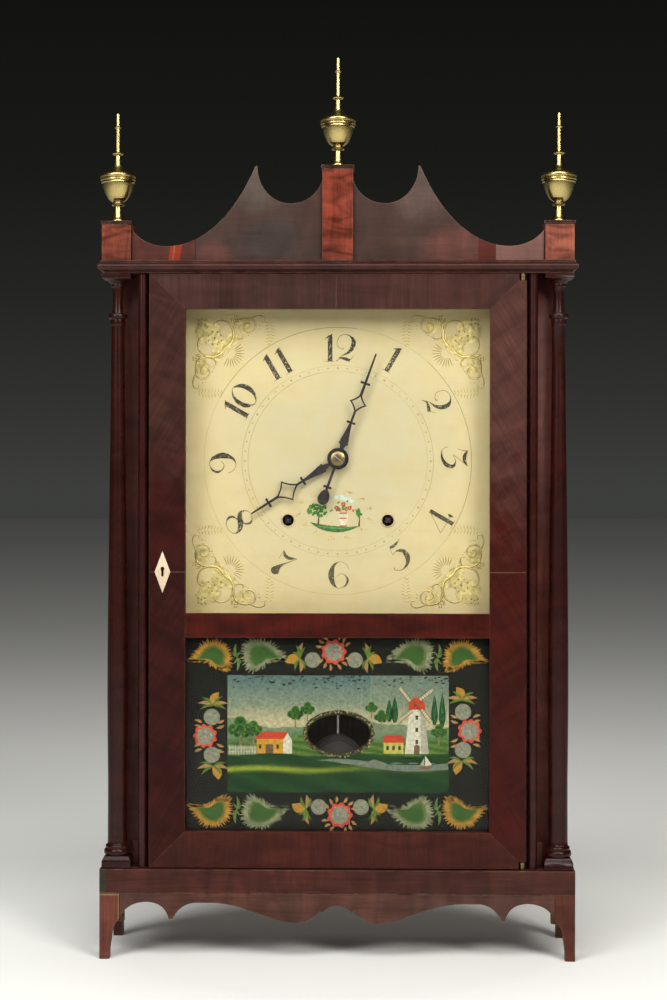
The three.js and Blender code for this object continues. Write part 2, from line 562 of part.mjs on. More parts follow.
function movement(parent) {
  const at = places();
  const bores = [[DRUM, DRUM_ARBOR], [at.strikeDrum, DRUM_ARBOR], [at.second, ARBOR],
    [at.strikeSecond, ARBOR], [[0, 0], THIN_ARBOR], [at.third, THIN_ARBOR], [ESCAPE, THIN_ARBOR],
    [at.fly, THIN_ARBOR], [HAMMER_ARBOR, THIN_ARBOR]];
  const plate = ([y0, y1]) => cut(board(outline([[-PLATE.half, PLATE.low], [PLATE.half, PLATE.low],
    [PLATE.half, PLATE.high], [-PLATE.half, PLATE.high]]), y0, y1),
  ...bores.map(([centre, radius]) => bore(centre, radius, y0 - 1, y1 + 1)));
  const peg = rod(SUSPENSION, 1.6, -15.4, 1);
  const stud = rod(MINUTE_STUD, THIN_ARBOR, -11.4, 1);
  add('front_plate', 'oak', join(plate(PLATE.front), peg, stud), parent);
  const posts = [[-76, -88], [76, -88], [-76, 76], [76, 76]].map((corner) =>
    rod(corner, 5, PLATE.front[1] + GAP, PLATE.back[0] + 1));
  add('back_plate', 'oak', join(plate(PLATE.back), ...posts), parent);

  const shaftEnd = PLATE.back[1] - 1;
  const first = meshing(DRUM, TEETH.great, at.second, TEETH.second, DISTANCE.great);
  const two = meshing(at.second, TEETH.secondWheel, [0, 0], TEETH.centre, DISTANCE.second);
  const three = meshing([0, 0], TEETH.centreWheel, at.third, TEETH.third, DISTANCE.centre);
  const four = meshing(at.third, TEETH.thirdWheel, ESCAPE, TEETH.escape, DISTANCE.third);

  const great = join(gear(DRUM, TEETH.great, first.module, 27.6, 32.4, first.wheelPhase),
    rod(DRUM, 9, 27.6, 35));
  add('time_great_wheel', 'cherry', cut(great, bore(DRUM, DRUM_ARBOR, 20, 40)), parent);
  add('second_arbor', 'cherry', join(rod(at.second, ARBOR, 1, shaftEnd),
    gear(at.second, TEETH.second, first.module, 26.8, 33.4, first.pinionPhase),
    gear(at.second, TEETH.secondWheel, two.module, 20, 24, two.wheelPhase)), parent);
  add('centre_arbor', 'cherry', join(rod([0, 0], THIN_ARBOR, -32.4, shaftEnd),
    gear([0, 0], TEETH.centre, two.module, 19.4, 24.8, two.pinionPhase),
    gear([0, 0], TEETH.centreWheel, three.module, 12.4, 16, three.wheelPhase)), parent);
  add('third_arbor', 'cherry', join(rod(at.third, THIN_ARBOR, 1, shaftEnd),
    gear(at.third, TEETH.third, three.module, 11.8, 16.6, three.pinionPhase),
    gear(at.third, TEETH.thirdWheel, four.module, 7.2, 10.4, four.wheelPhase)), parent);
  add('escape_wheel', 'brass', join(rod(ESCAPE, THIN_ARBOR, -4.2, shaftEnd),
    gear(ESCAPE, TEETH.escape, four.module, 6.8, 10.9, four.pinionPhase),
    board(escapeTeeth(), -3.7, -1.3, 5).translate([ESCAPE[0], 0, ESCAPE[1]])), parent);

  const [px, pz] = SUSPENSION;
  const pallet = (hand) => board(outline([[hand * 3, pz - 0.5], [hand * 16.4, pz - 5.4],
    [hand * 16, pz - 9.4], [hand * 12.7, pz - 10], [hand * 14, pz - 7.2], [hand * 2.6, pz - 3.6]]), -4, -1.3);
  const crutch = join(board(outline([[-1, pz - 2], [1, pz - 2], [1, 30], [-1, 30]]), -6.2, -5),
    box(-3.4, 3.4, -6.2, -5, 29, 31), box(-3.4, -1.6, -14.4, -5, 29, 31), box(1.6, 3.4, -14.4, -5, 29, 31));
  const verge = join(rod(SUSPENSION, 4.4, -6.2, -1.3), pallet(-1), pallet(1), crutch);
  add('verge', 'steel', cut(verge, bore(SUSPENSION, 1.6, -8, 0)), parent);

  const bobTop = SWING.bobCentre + SWING.bobRadius;
  const loop = new THREE.Shape();
  loop.absellipse(0, 0, 12.8, 17, 0, 2 * Math.PI, false, 0);
  const eye = new THREE.Path();
  eye.absellipse(0, 0, 11.2, 15.4, 0, 2 * Math.PI, true, 0);
  loop.holes.push(eye);
  const hook = cut(rod(SUSPENSION, SWING.rodTop, -13.6, -11.6), bore(SUSPENSION, 1.6, -15, -10));
  const wire = (z0, z1) => box(-0.9, 0.9, -13.4, -11.8, z0, z1);
  add('pendulum_rod', 'steel', join(hook, wire(16.2, pz - 2.6), board(loop, -13.4, -11.8, 10),
    wire(bobTop - 6, -16.2)), parent);
  const lens = [[14, -18.4], [22, -16], [24, -12.6], [22, -9.2], [14, -6.8]];
  const bob = spindle([0, SWING.bobCentre], lens, 24);
  add('pendulum_bob', 'brass', cut(bob, box(-1.2, 1.2, -13.7, -11.5, bobTop - 6.3, bobTop + 2)), parent);

  const strike = meshing(at.strikeDrum, TEETH.great, at.strikeSecond, TEETH.second, DISTANCE.great);
  const run = meshing(at.strikeSecond, TEETH.strikeWheel, at.fly, TEETH.fly, DISTANCE.strike);
  const notches = [2, 5, 9, 14, 20, 27, 35, 44, 54, 65, 77].map((blow) => {
    const angle = (blow / 78) * 2 * Math.PI;
    return box(15.6, 20, 33.8, 38, -0.9, 0.9).rotate([0, (-angle * 180) / Math.PI, 0])
      .translate([at.strikeDrum[0], 0, at.strikeDrum[1]]);
  });
  const count = cut(rod(at.strikeDrum, 17.6, 34.4, 37, 24), ...notches);
  const strikeGreat = join(gear(at.strikeDrum, TEETH.great, strike.module, 27.6, 32.4, strike.wheelPhase),
    rod(at.strikeDrum, 9, 27.6, 37), count);
  add('strike_great_wheel', 'cherry', cut(strikeGreat, bore(at.strikeDrum, DRUM_ARBOR, 20, 40)), parent);
  add('strike_second_arbor', 'cherry', join(rod(at.strikeSecond, ARBOR, 1, shaftEnd),
    gear(at.strikeSecond, TEETH.second, strike.module, 26.8, 33.2, strike.pinionPhase),
    gear(at.strikeSecond, TEETH.strikeWheel, run.module, 34.4, 38, run.wheelPhase)), parent);
  const [fx, fz] = at.fly;
  add('fly', 'cherry', join(rod(at.fly, THIN_ARBOR, 1, shaftEnd),
    gear(at.fly, TEETH.fly, run.module, 33.8, 38.6, run.pinionPhase),
    box(fx - 0.8, fx + 0.8, 19, 31, fz - 14, fz + 14), rod(at.fly, 3.2, 19, 31)), parent);

  for (const [name, [x, z]] of [['time_drum', DRUM], ['strike_drum', at.strikeDrum]]) {
    const key = box(x - 2.4, x + 2.4, -20, -9, z - 2.4, z + 2.4);
    add(name, 'cherry', join(drumBody([x, z], shaftEnd), key), parent);
  }

  const [hx, hz] = HAMMER_ARBOR;
  const headAt = [-36.6, BELL[1]];
  const lean = bearing(headAt, HAMMER_ARBOR);
  const reach = Math.hypot(hx - headAt[0], hz - headAt[1]);
  const stem = box(0, reach, 24, 26, -1.2, 1.2).rotate([0, (-lean * 180) / Math.PI, 0])
    .translate([headAt[0], 0, headAt[1]]);
  add('hammer', 'iron', join(rod(HAMMER_ARBOR, THIN_ARBOR, 1, shaftEnd),
    rod(HAMMER_ARBOR, 4, 22.6, 26.4), stem, rod(headAt, 5.6, 19, 31)), parent);
  const dish = [[28, 22], [28, 24], [26.6, 32], [20, 40], [10, 42], [4, 42], [3, 42.4], [3, 56], [0, 56]];
  const hollow = [[26, 22], [25.8, 24], [24.6, 31], [18.6, 38], [9, 40], [0, 40]];
  const section = [...hollow.slice().reverse(), ...dish].map(([r, y]) => new THREE.Vector2(r, y));
  const bell = new THREE.LatheGeometry(section, 18);
  add('bell', 'iron', toSolid(bell.translate(BELL[0], 0, BELL[1])), parent);
}

// A barrel with two flanges on its winding arbor.
function drumBody(centre, shaftEnd) {
  return join(rod(centre, DRUM_ARBOR, -10, shaftEnd), spindle(centre, [[13.4, 7], [13.4, 9], [BARREL, 9],
    [BARREL, 24], [13.4, 24], [13.4, 26.6]], 14));
}

// One weight with its pulley and cord, on the right for hand +1 and on the left for hand -1. The cord leaves
// the drum's outer side, crosses to the inner side of the pulley and falls from the outer side.
function weightLine(prefix, hand) {
  const pulleyAt = [hand * PULLEY.x, PULLEY.z];
  const run = PULLEY.groove + CORD;
  const start = BARREL + CORD + GAP;
  const pulley = join(rod(pulleyAt, THIN_ARBOR, CORD_Y - 4, 33.4),
    spindle(pulleyAt, [[PULLEY.rim, CORD_Y - 3.4], [PULLEY.groove - 1.4, CORD_Y - 1.2],
      [PULLEY.groove - 1.4, CORD_Y + 1.2], [PULLEY.rim, CORD_Y + 3.4]], 18));
  add(`${prefix}_pulley`, 'brass', pulley);

  const drumAt = [hand * DRUM[0], DIAL_Z + DRUM[1]];
  const [dx, dz] = [pulleyAt[0] - drumAt[0], pulleyAt[1] - drumAt[1]];
  const lean = Math.atan2(dz, dx) + hand * Math.asin((start + run) / Math.hypot(dx, dz));
  const [startX, startZ] = polar(lean - (hand * Math.PI) / 2, start);
  const points = [[drumAt[0] + startX, drumAt[1] + startZ]];
  const first = lean + (hand * Math.PI) / 2;
  const last = hand > 0 ? 0 : Math.PI;
  const steps = 8;
  for (let k = 0; k <= steps; k += 1) {
    const [x, z] = polar(first + ((last - first) * k) / steps, run);
    points.push([pulleyAt[0] + x, pulleyAt[1] + z]);
  }
  const dropX = pulleyAt[0] + hand * run;
  points.push([dropX, PULLEY.z - 6]);
  add(`${prefix}_cord`, 'cord', tube(points, CORD));
  add(`${prefix}_cord_fall`, 'cord', tube([[dropX, PULLEY.z - 6 - GAP], [dropX, WEIGHT.eye + GAP]], CORD));

  const tall = WEIGHT.top - WEIGHT.bottom;
  const weight = turned([[WEIGHT.radius - 1.5, 0], [WEIGHT.radius, 1.5], [WEIGHT.radius, tall - 3],
    [WEIGHT.radius - 4, tall], [1.8, tall], [1.8, WEIGHT.eye - WEIGHT.bottom]], dropX, CORD_Y,
  WEIGHT.bottom, 18);
  add(`${prefix}_weight`, 'iron', weight);
}

// A six-sided tube through points given in x and z at the cord's depth.
function tube(points, radius) {
  const at = points.map(([x, z]) => new THREE.Vector3(x, CORD_Y, z));
  const corners = [0, 1, 2, 3, 4, 5].map((k) => polar((k * Math.PI) / 3, radius));
  const bent = at.length > 2;
  const extrudePath = bent
    ? new THREE.CatmullRomCurve3(at, false, 'catmullrom', 0.05)
    : new THREE.LineCurve3(...at);
  const steps = bent ? 28 : 1;
  return toSolid(new THREE.ExtrudeGeometry(outline(corners), { steps, extrudePath, bevelEnabled: false }));
}

base();
caseBox();
crest();
pillars();
door();
const works = new THREE.Group();
works.position.z = DIAL_Z;
clock.add(works);
dialAndHands(works);
movement(works);
weightLine('time', 1);
weightLine('strike', -1);

export default clock;
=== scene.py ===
"""Pillar and scroll shelf clock: its looks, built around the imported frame.

Sizes in the classes are in millimetres and become metres as each piece is made. The front faces -Y.
"""
import itertools
import logging
import random
from dataclasses import dataclass
from enum import Enum
from math import cos, exp, hypot, log10, radians, sin, sqrt, tau
from typing import Callable, Optional, Sequence

import bmesh
import bpy
from mathutils import Matrix, Vector
from mathutils.geometry import tessellate_polygon


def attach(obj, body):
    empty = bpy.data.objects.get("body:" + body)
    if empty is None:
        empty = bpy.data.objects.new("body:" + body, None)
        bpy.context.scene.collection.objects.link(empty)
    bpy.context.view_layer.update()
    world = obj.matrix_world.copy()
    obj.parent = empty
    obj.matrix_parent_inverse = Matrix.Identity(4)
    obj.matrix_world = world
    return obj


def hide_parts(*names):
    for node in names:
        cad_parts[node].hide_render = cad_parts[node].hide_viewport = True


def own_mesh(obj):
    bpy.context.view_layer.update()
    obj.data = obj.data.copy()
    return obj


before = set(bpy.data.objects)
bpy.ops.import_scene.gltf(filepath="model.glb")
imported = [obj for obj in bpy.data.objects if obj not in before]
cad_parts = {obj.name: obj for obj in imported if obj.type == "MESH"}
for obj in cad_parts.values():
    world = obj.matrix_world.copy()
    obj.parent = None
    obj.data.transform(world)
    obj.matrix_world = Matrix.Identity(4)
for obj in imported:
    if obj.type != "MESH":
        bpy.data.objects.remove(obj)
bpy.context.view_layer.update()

LOG = logging.getLogger("clock")
MM = 0.001
GAP = 0.3

Pair = tuple[float, float]
Triple = tuple[float, float, float]
Point = Pair
Colour = Triple
Stroke = Sequence[Triple]
Place = Callable[[float, float], Point]
Rng = random.Random
Piece = bpy.types.Object
Socket = bpy.types.NodeSocket
Sockets = bpy.types.NodeOutputs
Tree = bpy.types.NodeTree


class Axis(Enum):
    """The way in which a drawing is sawn or turned: it is drawn in the other two directions."""

    ACROSS = 0
    DEPTH = 1
    UP = 2

    def point(self, u: float, v: float, w: float) -> Vector:
        """A drawing's u and v, and w along the axis, as a place in metres."""
        order = {Axis.ACROSS: (w, u, v), Axis.DEPTH: (u, w, v), Axis.UP: (u, v, w)}
        return Vector(order[self]) * MM


class Pen:
    """Draws an outline in millimetres with straight lines, bends and sweeps."""

    def __init__(self, *start: Point) -> None:
        """Sets the pen down.

        Args:
            start: The first point, or the first few.
        """
        self.points = list(start)

    def line(self, *points: Point) -> "Pen":
        """Goes straight to each point."""
        self.points += points
        return self

    def bend(self, control: Point, end: Point, steps: int = 14) -> "Pen":
        """Draws a quadratic curve.

        Args:
            control: The point that pulls the curve.
            end: Where it ends.
            steps: How many pieces it has.

        Returns:
            The pen.
        """
        start = self.points[-1]
        first = tuple(a + (b - a) * 2 / 3 for a, b in zip(start, control))
        second = tuple(a + (b - a) * 2 / 3 for a, b in zip(end, control))
        return self.sweep(first, second, end, steps)

    def sweep(self, first: Point, second: Point, end: Point, steps: int = 18) -> "Pen":
        """Draws a cubic curve.

        Args:
            first: The control point of its start.
            second: The control point of its end.
            end: Where it ends.
            steps: How many pieces it has.

        Returns:
            The pen.
        """
        start = self.points[-1]
        for k in range(1, steps + 1):
            t = k / steps
            share = ((1 - t) ** 3, 3 * t * (1 - t) ** 2, 3 * t * t * (1 - t), t ** 3)
            corners = (start, first, second, end)
            self.points.append(tuple(sum(s * p[i] for s, p in zip(share, corners)) for i in (0, 1)))
        return self

    def arc(self, centre: Point, radius: float, start: float, end: float, steps: int = 16) -> "Pen":
        """Draws part of a circle.

        Args:
            centre: The circle's centre.
            radius: Its radius.
            start: The first angle in degrees.
            end: The last angle in degrees.
            steps: How many pieces it has.

        Returns:
            The pen.
        """
        angles = (radians(start + (end - start) * k / steps) for k in range(steps + 1))
        return self.line(*(around(centre, radius, angle) for angle in angles))

    def both_sides(self) -> list[Point]:
        """The outline with its mirror image, for half a drawing that starts and ends on the middle line."""
        return self.points + [(-u, v) for u, v in reversed(self.points[1:-1])]


def around(centre: Point, radius: float, angle: float) -> Point:
    """The place at so far from a centre, at an angle in radians."""
    return centre[0] + radius * cos(angle), centre[1] + radius * sin(angle)


def turns(steps: int) -> list[float]:
    """The angles of so many even steps round a circle."""
    return [tau * k / steps for k in range(steps)]


def mixed(first: Sequence[float], second: Sequence[float], share: float) -> tuple[float, ...]:
    """Part of the way from one place or colour to another, never beyond either."""
    share = min(max(share, 0.0), 1.0)
    return tuple(a + (b - a) * share for a, b in zip(first, second))


def toned(colour: Colour, rng: Rng) -> Colour:
    """The colour, a little lighter or darker."""
    share = rng.uniform(0.8, 1.15)
    return tuple(part * share for part in colour)


def side_of(value: float) -> int:
    """One, with the sign of the value."""
    return 1 if value > 0 else -1


def box(left: float, low: float, right: float, high: float) -> list[Point]:
    """The corners of an upright rectangle."""
    return [(left, low), (right, low), (right, high), (left, high)]


def circle(centre: Point, radius: float, steps: int = 32) -> list[Point]:
    """A round outline."""
    return Pen().arc(centre, radius, 0, 360, steps).points[:-1]


def flipped(outline: Sequence[Point]) -> list[Point]:
    """An outline on the other side of the middle line."""
    return [(-u, v) for u, v in outline]


def smooth_path(points: Stroke, steps: int = 6, closed: bool = False) -> list[tuple[float, ...]]:
    """A smooth line through points of any number of values.

    Args:
        points: The points that it goes through.
        steps: How many pieces lie between two points.
        closed: Whether it comes back to its start.

    Returns:
        The line's points.
    """
    count = len(points)
    made = []
    for i in range(count if closed else count - 1):
        four = [points[(i + k) % count] if closed else points[min(max(i + k, 0), count - 1)] for k in (-1, 0, 1, 2)]
        for k in range(steps):
            t = k / steps
            share = (-t + 2 * t * t - t ** 3, 2 - 5 * t * t + 3 * t ** 3, t + 4 * t * t - 3 * t ** 3, t ** 3 - t * t)
            made.append(tuple(0.5 * sum(s * p[j] for s, p in zip(share, four)) for j in range(len(points[0]))))
    return made if closed else made + [tuple(points[-1])]


class Bench:
    """The maker's tools. Each leaves one mesh object at the origin, with its place in its mesh."""

    @staticmethod
    def clear() -> None:
        """Puts every piece down, so that an operator acts on the next one alone."""
        for piece in list(bpy.context.selected_objects):
            piece.select_set(False)

    @staticmethod
    def take(piece: Piece) -> Piece:
        """Selects one piece alone and makes it the active one."""
        Bench.clear()
        piece.select_set(True)
        bpy.context.view_layer.objects.active = piece
        return piece

    @staticmethod
    def named(name: str) -> Piece:
        """Names the piece that was just added."""
        piece = bpy.context.object
        piece.name = name
        piece.data.name = name
        return piece

    @staticmethod
    def drawn(name: str, places: Sequence[Vector], fill: str = "NOTHING") -> Piece:
        """Starts a piece as a loop of points, all selected in edit mode."""
        Bench.clear()
        bpy.ops.mesh.primitive_circle_add(vertices=len(places), radius=1, fill_type=fill)
        piece = Bench.named(name)
        for vertex, place in zip(piece.data.vertices, places):
            vertex.co = place
        bpy.ops.object.mode_set(mode="EDIT")
        bpy.ops.mesh.select_all(action="SELECT")
        return piece

    @staticmethod
    def sawn(name: str, outline: Sequence[Point], start: float, end: float, axis: Axis = Axis.DEPTH,
            soft: float = 0.0) -> Piece:
        """Saws a board to an outline.

        Args:
            name: The piece's name.
            outline: The drawing.
            start: Where the board begins along the axis.
            end: Where it ends.
            axis: The way in which it is sawn.
            soft: How far its edges are eased.

        Returns:
            The board.
        """
        piece = Bench.drawn(name, [axis.point(u, v, start) for u, v in outline], "NGON")
        bpy.ops.mesh.extrude_region_move(TRANSFORM_OT_translate={"value": axis.point(0, 0, end - start)})
        Bench.outwards()
        return Bench.eased(piece, soft) if soft else piece

    @staticmethod
    def outwards() -> None:
        """Turns all faces outwards and leaves edit mode."""
        bpy.ops.mesh.select_all(action="SELECT")
        bpy.ops.mesh.normals_make_consistent(inside=False)
        bpy.ops.object.mode_set(mode="OBJECT")

    @staticmethod
    def turned(name: str, profile: Sequence[Point], centre: Point, axis: Axis = Axis.UP, steps: int = 48) -> Piece:
        """Turns a piece on the lathe.

        Args:
            name: The piece's name.
            profile: Pairs of radius and place along the axis. A solid starts and ends on the axis.
            centre: Where the axis passes.
            axis: The lathe's axis.
            steps: How many sides the piece has.

        Returns:
            The turned piece.
        """
        piece = Bench.drawn(name, [axis.point(centre[0] + radius, centre[1], along) for radius, along in profile])
        bpy.ops.mesh.spin(steps=steps, angle=tau, center=axis.point(centre[0], centre[1], 0),
            axis=axis.point(0, 0, 1).normalized(), use_auto_merge=True)
        bpy.ops.mesh.select_all(action="SELECT")
        bpy.ops.mesh.remove_doubles(threshold=1e-6)
        bpy.ops.mesh.delete_loose()
        Bench.outwards()
        return Bench.smooth(piece)

    @staticmethod
    def moulded(name: str, half: Point, centre: Point, levels: Sequence[Point], square_back: bool = False,
            soft: float = 0.0) -> Piece:
        """Planes a block with a moulding round it.

        Args:
            name: The piece's name.
            half: Half its width and half its depth.
            centre: The x and y of its middle.
            levels: Pairs of inset and height, from the bottom up.
            square_back: Whether its back has no moulding.
            soft: How far its edges are eased.

        Returns:
            The block.
        """

        def spot(corner: Point, inset: float, z: float) -> Vector:
            """The place of a corner at one level."""
            across, deep = side_of(corner[0]), side_of(corner[1])
            back = 0 if square_back and deep > 0 else inset
            return Axis.UP.point(centre[0] + across * (half[0] - inset), centre[1] + deep * (half[1] - back), z)

        piece = Bench.drawn(name, [spot(corner, *levels[0]) for corner in box(-1, -1, 1, 1)], "NGON")
        for inset, z in levels[1:]:
            bpy.ops.mesh.extrude_region_move(TRANSFORM_OT_translate={"value": (0, 0, 1)})
            shape = bmesh.from_edit_mesh(piece.data)
            for vertex in (v for v in shape.verts if v.select):
                corner = (vertex.co.x / MM - centre[0], vertex.co.y / MM - centre[1])
                vertex.co = spot(corner, inset, z)
            bmesh.update_edit_mesh(piece.data)
        Bench.outwards()
        return Bench.eased(piece, soft) if soft else piece

    @staticmethod
    def block(name: str, low: Sequence[float], high: Sequence[float], soft: float = 0.4, segments: int = 2) -> Piece:
        """Cuts a block with eased edges.

        Args:
            name: The piece's name.
            low: Its lowest corner.
            high: Its highest corner.
            soft: How far its edges are eased.
            segments: How many steps an eased edge has.

        Returns:
            The block.
        """
        Bench.clear()
        middle = [(a + b) / 2 * MM for a, b in zip(low, high)]
        size = [(b - a) * MM for a, b in zip(low, high)]
        bpy.ops.mesh.primitive_cube_add(size=1, location=middle, scale=size)
        piece = Bench.named(name)
        bpy.ops.object.transform_apply(location=True, rotation=True, scale=True)
        return Bench.eased(piece, soft, segments)

    @staticmethod
    def apply(piece: Piece, kind: str, **settings: object) -> Piece:
        """Adds a modifier and applies it.

        Args:
            piece: The piece.
            kind: Blender's name of the modifier's type.
            settings: What it is set to.

        Returns:
            The piece.
        """
        Bench.take(piece)
        modifier = piece.modifiers.new(kind.title(), kind)
        for key, value in settings.items():
            setattr(modifier, key, value)
        bpy.ops.object.modifier_apply(modifier=modifier.name)
        return piece

    @staticmethod
    def eased(piece: Piece, width: float, segments: int = 2, sharp: float = 32) -> Piece:
        """Eases the edges of a piece that turn by so many degrees or more, by so many millimetres."""
        Bench.apply(piece, "BEVEL", width=width * MM, segments=segments, limit_method="ANGLE",
            angle_limit=radians(sharp), harden_normals=False)
        return Bench.smooth(piece)

    @staticmethod
    def smooth(piece: Piece, degrees: float = 34) -> Piece:
        """Shades a piece smooth, except over its sharp edges, and keeps its large faces flat."""
        Bench.take(piece)
        if piece.data.has_custom_normals:
            bpy.ops.mesh.customdata_custom_splitnormals_clear()
        bpy.ops.object.shade_smooth_by_angle(angle=radians(degrees))
        return Bench.apply(piece, "WEIGHTED_NORMAL", keep_sharp=True, weight=80)

    @staticmethod
    def cut(piece: Piece, *tools: Piece, keep: str = "DIFFERENCE") -> Piece:
        """Cuts tools out of a piece, or joins them to it with keep="UNION", and throws the tools away."""
        for tool in tools:
            Bench.apply(piece, "BOOLEAN", operation=keep, object=tool, solver="EXACT")
            bpy.data.objects.remove(tool)
        return Bench.smooth(piece)

    @staticmethod
    def copied(piece: Piece, name: str, way: Matrix) -> Piece:
        """Copies a piece with its mesh and moves the copy."""
        twin = piece.copy()
        twin.data = piece.data.copy()
        twin.name = twin.data.name = name
        bpy.context.scene.collection.objects.link(twin)
        twin.data.transform(way)
        return twin

    @staticmethod
    def mirrored(piece: Piece, name: str) -> Piece:
        """Copies a piece to the other side."""
        twin = Bench.take(Bench.copied(piece, name, Matrix.Scale(-1, 4, (1, 0, 0))))
        bpy.ops.object.mode_set(mode="EDIT")
        Bench.outwards()
        return twin

    @staticmethod
    def turn(piece: Piece, degrees: float, centre: Point) -> Piece:
        """Turns a piece clockwise, as seen from the front, about a point in x and z."""
        at = Axis.DEPTH.point(centre[0], centre[1], 0)
        spin = Matrix.Rotation(radians(degrees), 4, "Y")
        piece.data.transform(Matrix.Translation(at) @ spin @ Matrix.Translation(-at))
        return piece


class Sheet:
    """Lays out shader nodes. A value given to a socket is a number, a colour or another node's output."""

    def __init__(self, tree: Tree) -> None:
        """Starts on a node tree."""
        self.tree = tree

    @classmethod
    def blank(cls, owner: bpy.types.ID) -> "Sheet":
        """The empty sheet of a material or a world."""
        owner.use_nodes = True
        owner.node_tree.nodes.clear()
        return cls(owner.node_tree)

    def put(self, socket: Socket, value: object) -> None:
        """Links a socket to an output, or sets it."""
        if isinstance(value, Socket):
            self.tree.links.new(value, socket)
        elif value is not None:
            socket.default_value = (*value, 1) if socket.type == "RGBA" and len(value) == 3 else value

    def add(self, kind: str, sockets: Optional[dict] = None, **settings: object) -> bpy.types.Node:
        """Adds a node.

        Args:
            kind: The node's type after ShaderNode.
            sockets: Values for its inputs, by name or number.
            settings: The node's own settings.

        Returns:
            The node.
        """
        node = self.tree.nodes.new("ShaderNode" + kind)
        for key, value in settings.items():
            setattr(node, key, value)
        for key, value in (sockets or {}).items():
            self.put(node.inputs[key], value)
        return node

    def math(self, operation: str, *values: object, clamp: bool = False) -> Socket:
        """Works out one number."""
        return self.add("Math", dict(enumerate(values)), operation=operation, use_clamp=clamp).outputs[0]

    def times(self, first: object, second: object, clamp: bool = False) -> Socket:
        """Multiplies two numbers."""
        return self.math("MULTIPLY", first, second, clamp=clamp)

    def plus(self, first: object, second: object) -> Socket:
        """Adds two numbers."""
        return self.math("ADD", first, second)

    def most(self, first: object, *others: object) -> Socket:
        """The largest of some numbers."""
        for other in others:
            first = self.math("MAXIMUM", first, other)
        return first

    def vector(self, operation: str, *values: object) -> Sockets:
        """Works with vectors. The first output is a vector and the second a number."""
        return self.add("VectorMath", dict(enumerate(values)), operation=operation).outputs

    def scaled(self, vector: object, by: object) -> Socket:
        """Makes a vector longer or a colour lighter."""
        return self.add("VectorMath", {0: vector, "Scale": by}, operation="SCALE").outputs[0]

    def stretch(self, vector: object, by: Sequence[float]) -> Socket:
        """Multiplies a vector, part by part."""
        return self.vector("MULTIPLY", vector, by)[0]

    def span(self, value: object, low: float, high: float, to_low: float = 0.0, to_high: float = 1.0) -> Socket:
        """Stretches a range of values to another and keeps them in it."""
        names = ("Value", "From Min", "From Max", "To Min", "To Max")
        return self.add("MapRange", dict(zip(names, (value, low, high, to_low, to_high))), clamp=True).outputs[0]

    def blend(self, share: object, first: object, second: object, how: str = "MIX") -> Socket:
        """Mixes two colours."""
        settings = {"data_type": "RGBA", "blend_type": how, "clamp_factor": True}
        return self.add("Mix", {0: share, 6: first, 7: second}, **settings).outputs[2]

    def noise(self, vector: object, scale: float, detail: float = 4.0, rough: float = 0.55,
            warp: float = 0.0) -> Socket:
        """A cloud of values about one half."""
        names = ("Vector", "Scale", "Detail", "Roughness", "Distortion")
        return self.add("TexNoise", dict(zip(names, (vector, scale, detail, rough, warp)))).outputs[0]

    def ramp(self, value: object, *stops: tuple[float, Colour]) -> Socket:
        """Turns a value into a colour."""
        node = self.add("ValToRGB", {0: value})
        while len(node.color_ramp.elements) < len(stops):
            node.color_ramp.elements.new(0.5)
        for element, (place, colour) in zip(node.color_ramp.elements, stops):
            element.position = place
            element.color = (*colour, 1)
        return node.outputs[0]

    def effect(self, name: str, **values: object) -> Sockets:
        """Places a shared effect."""
        return self.add("Group", values, node_tree=Effects.tree(name)).outputs

    def bump(self, height: object, strength: float = 0.1, distance: float = 0.0002) -> Socket:
        """Raises the surface by a height."""
        return self.add("Bump", {"Strength": strength, "Distance": distance, "Height": height}).outputs[0]

    def principled(self, colour: object, rough: object, bump: object, **others: object) -> Socket:
        """The shader of a surface. The others are more of its inputs, with _ for a space."""
        named = {key.replace("_", " "): value for key, value in others.items()}
        return self.add("BsdfPrincipled", {"Base Color": colour, "Roughness": rough, "Normal": bump,
            **named}).outputs[0]

    def seen(self) -> Socket:
        """One for the rays by which a thing is seen, and nothing for those that light others."""
        path = self.add("LightPath").outputs
        return self.most(*(path[f"Is {ray} Ray"] for ray in ("Camera", "Glossy", "Transmission")))


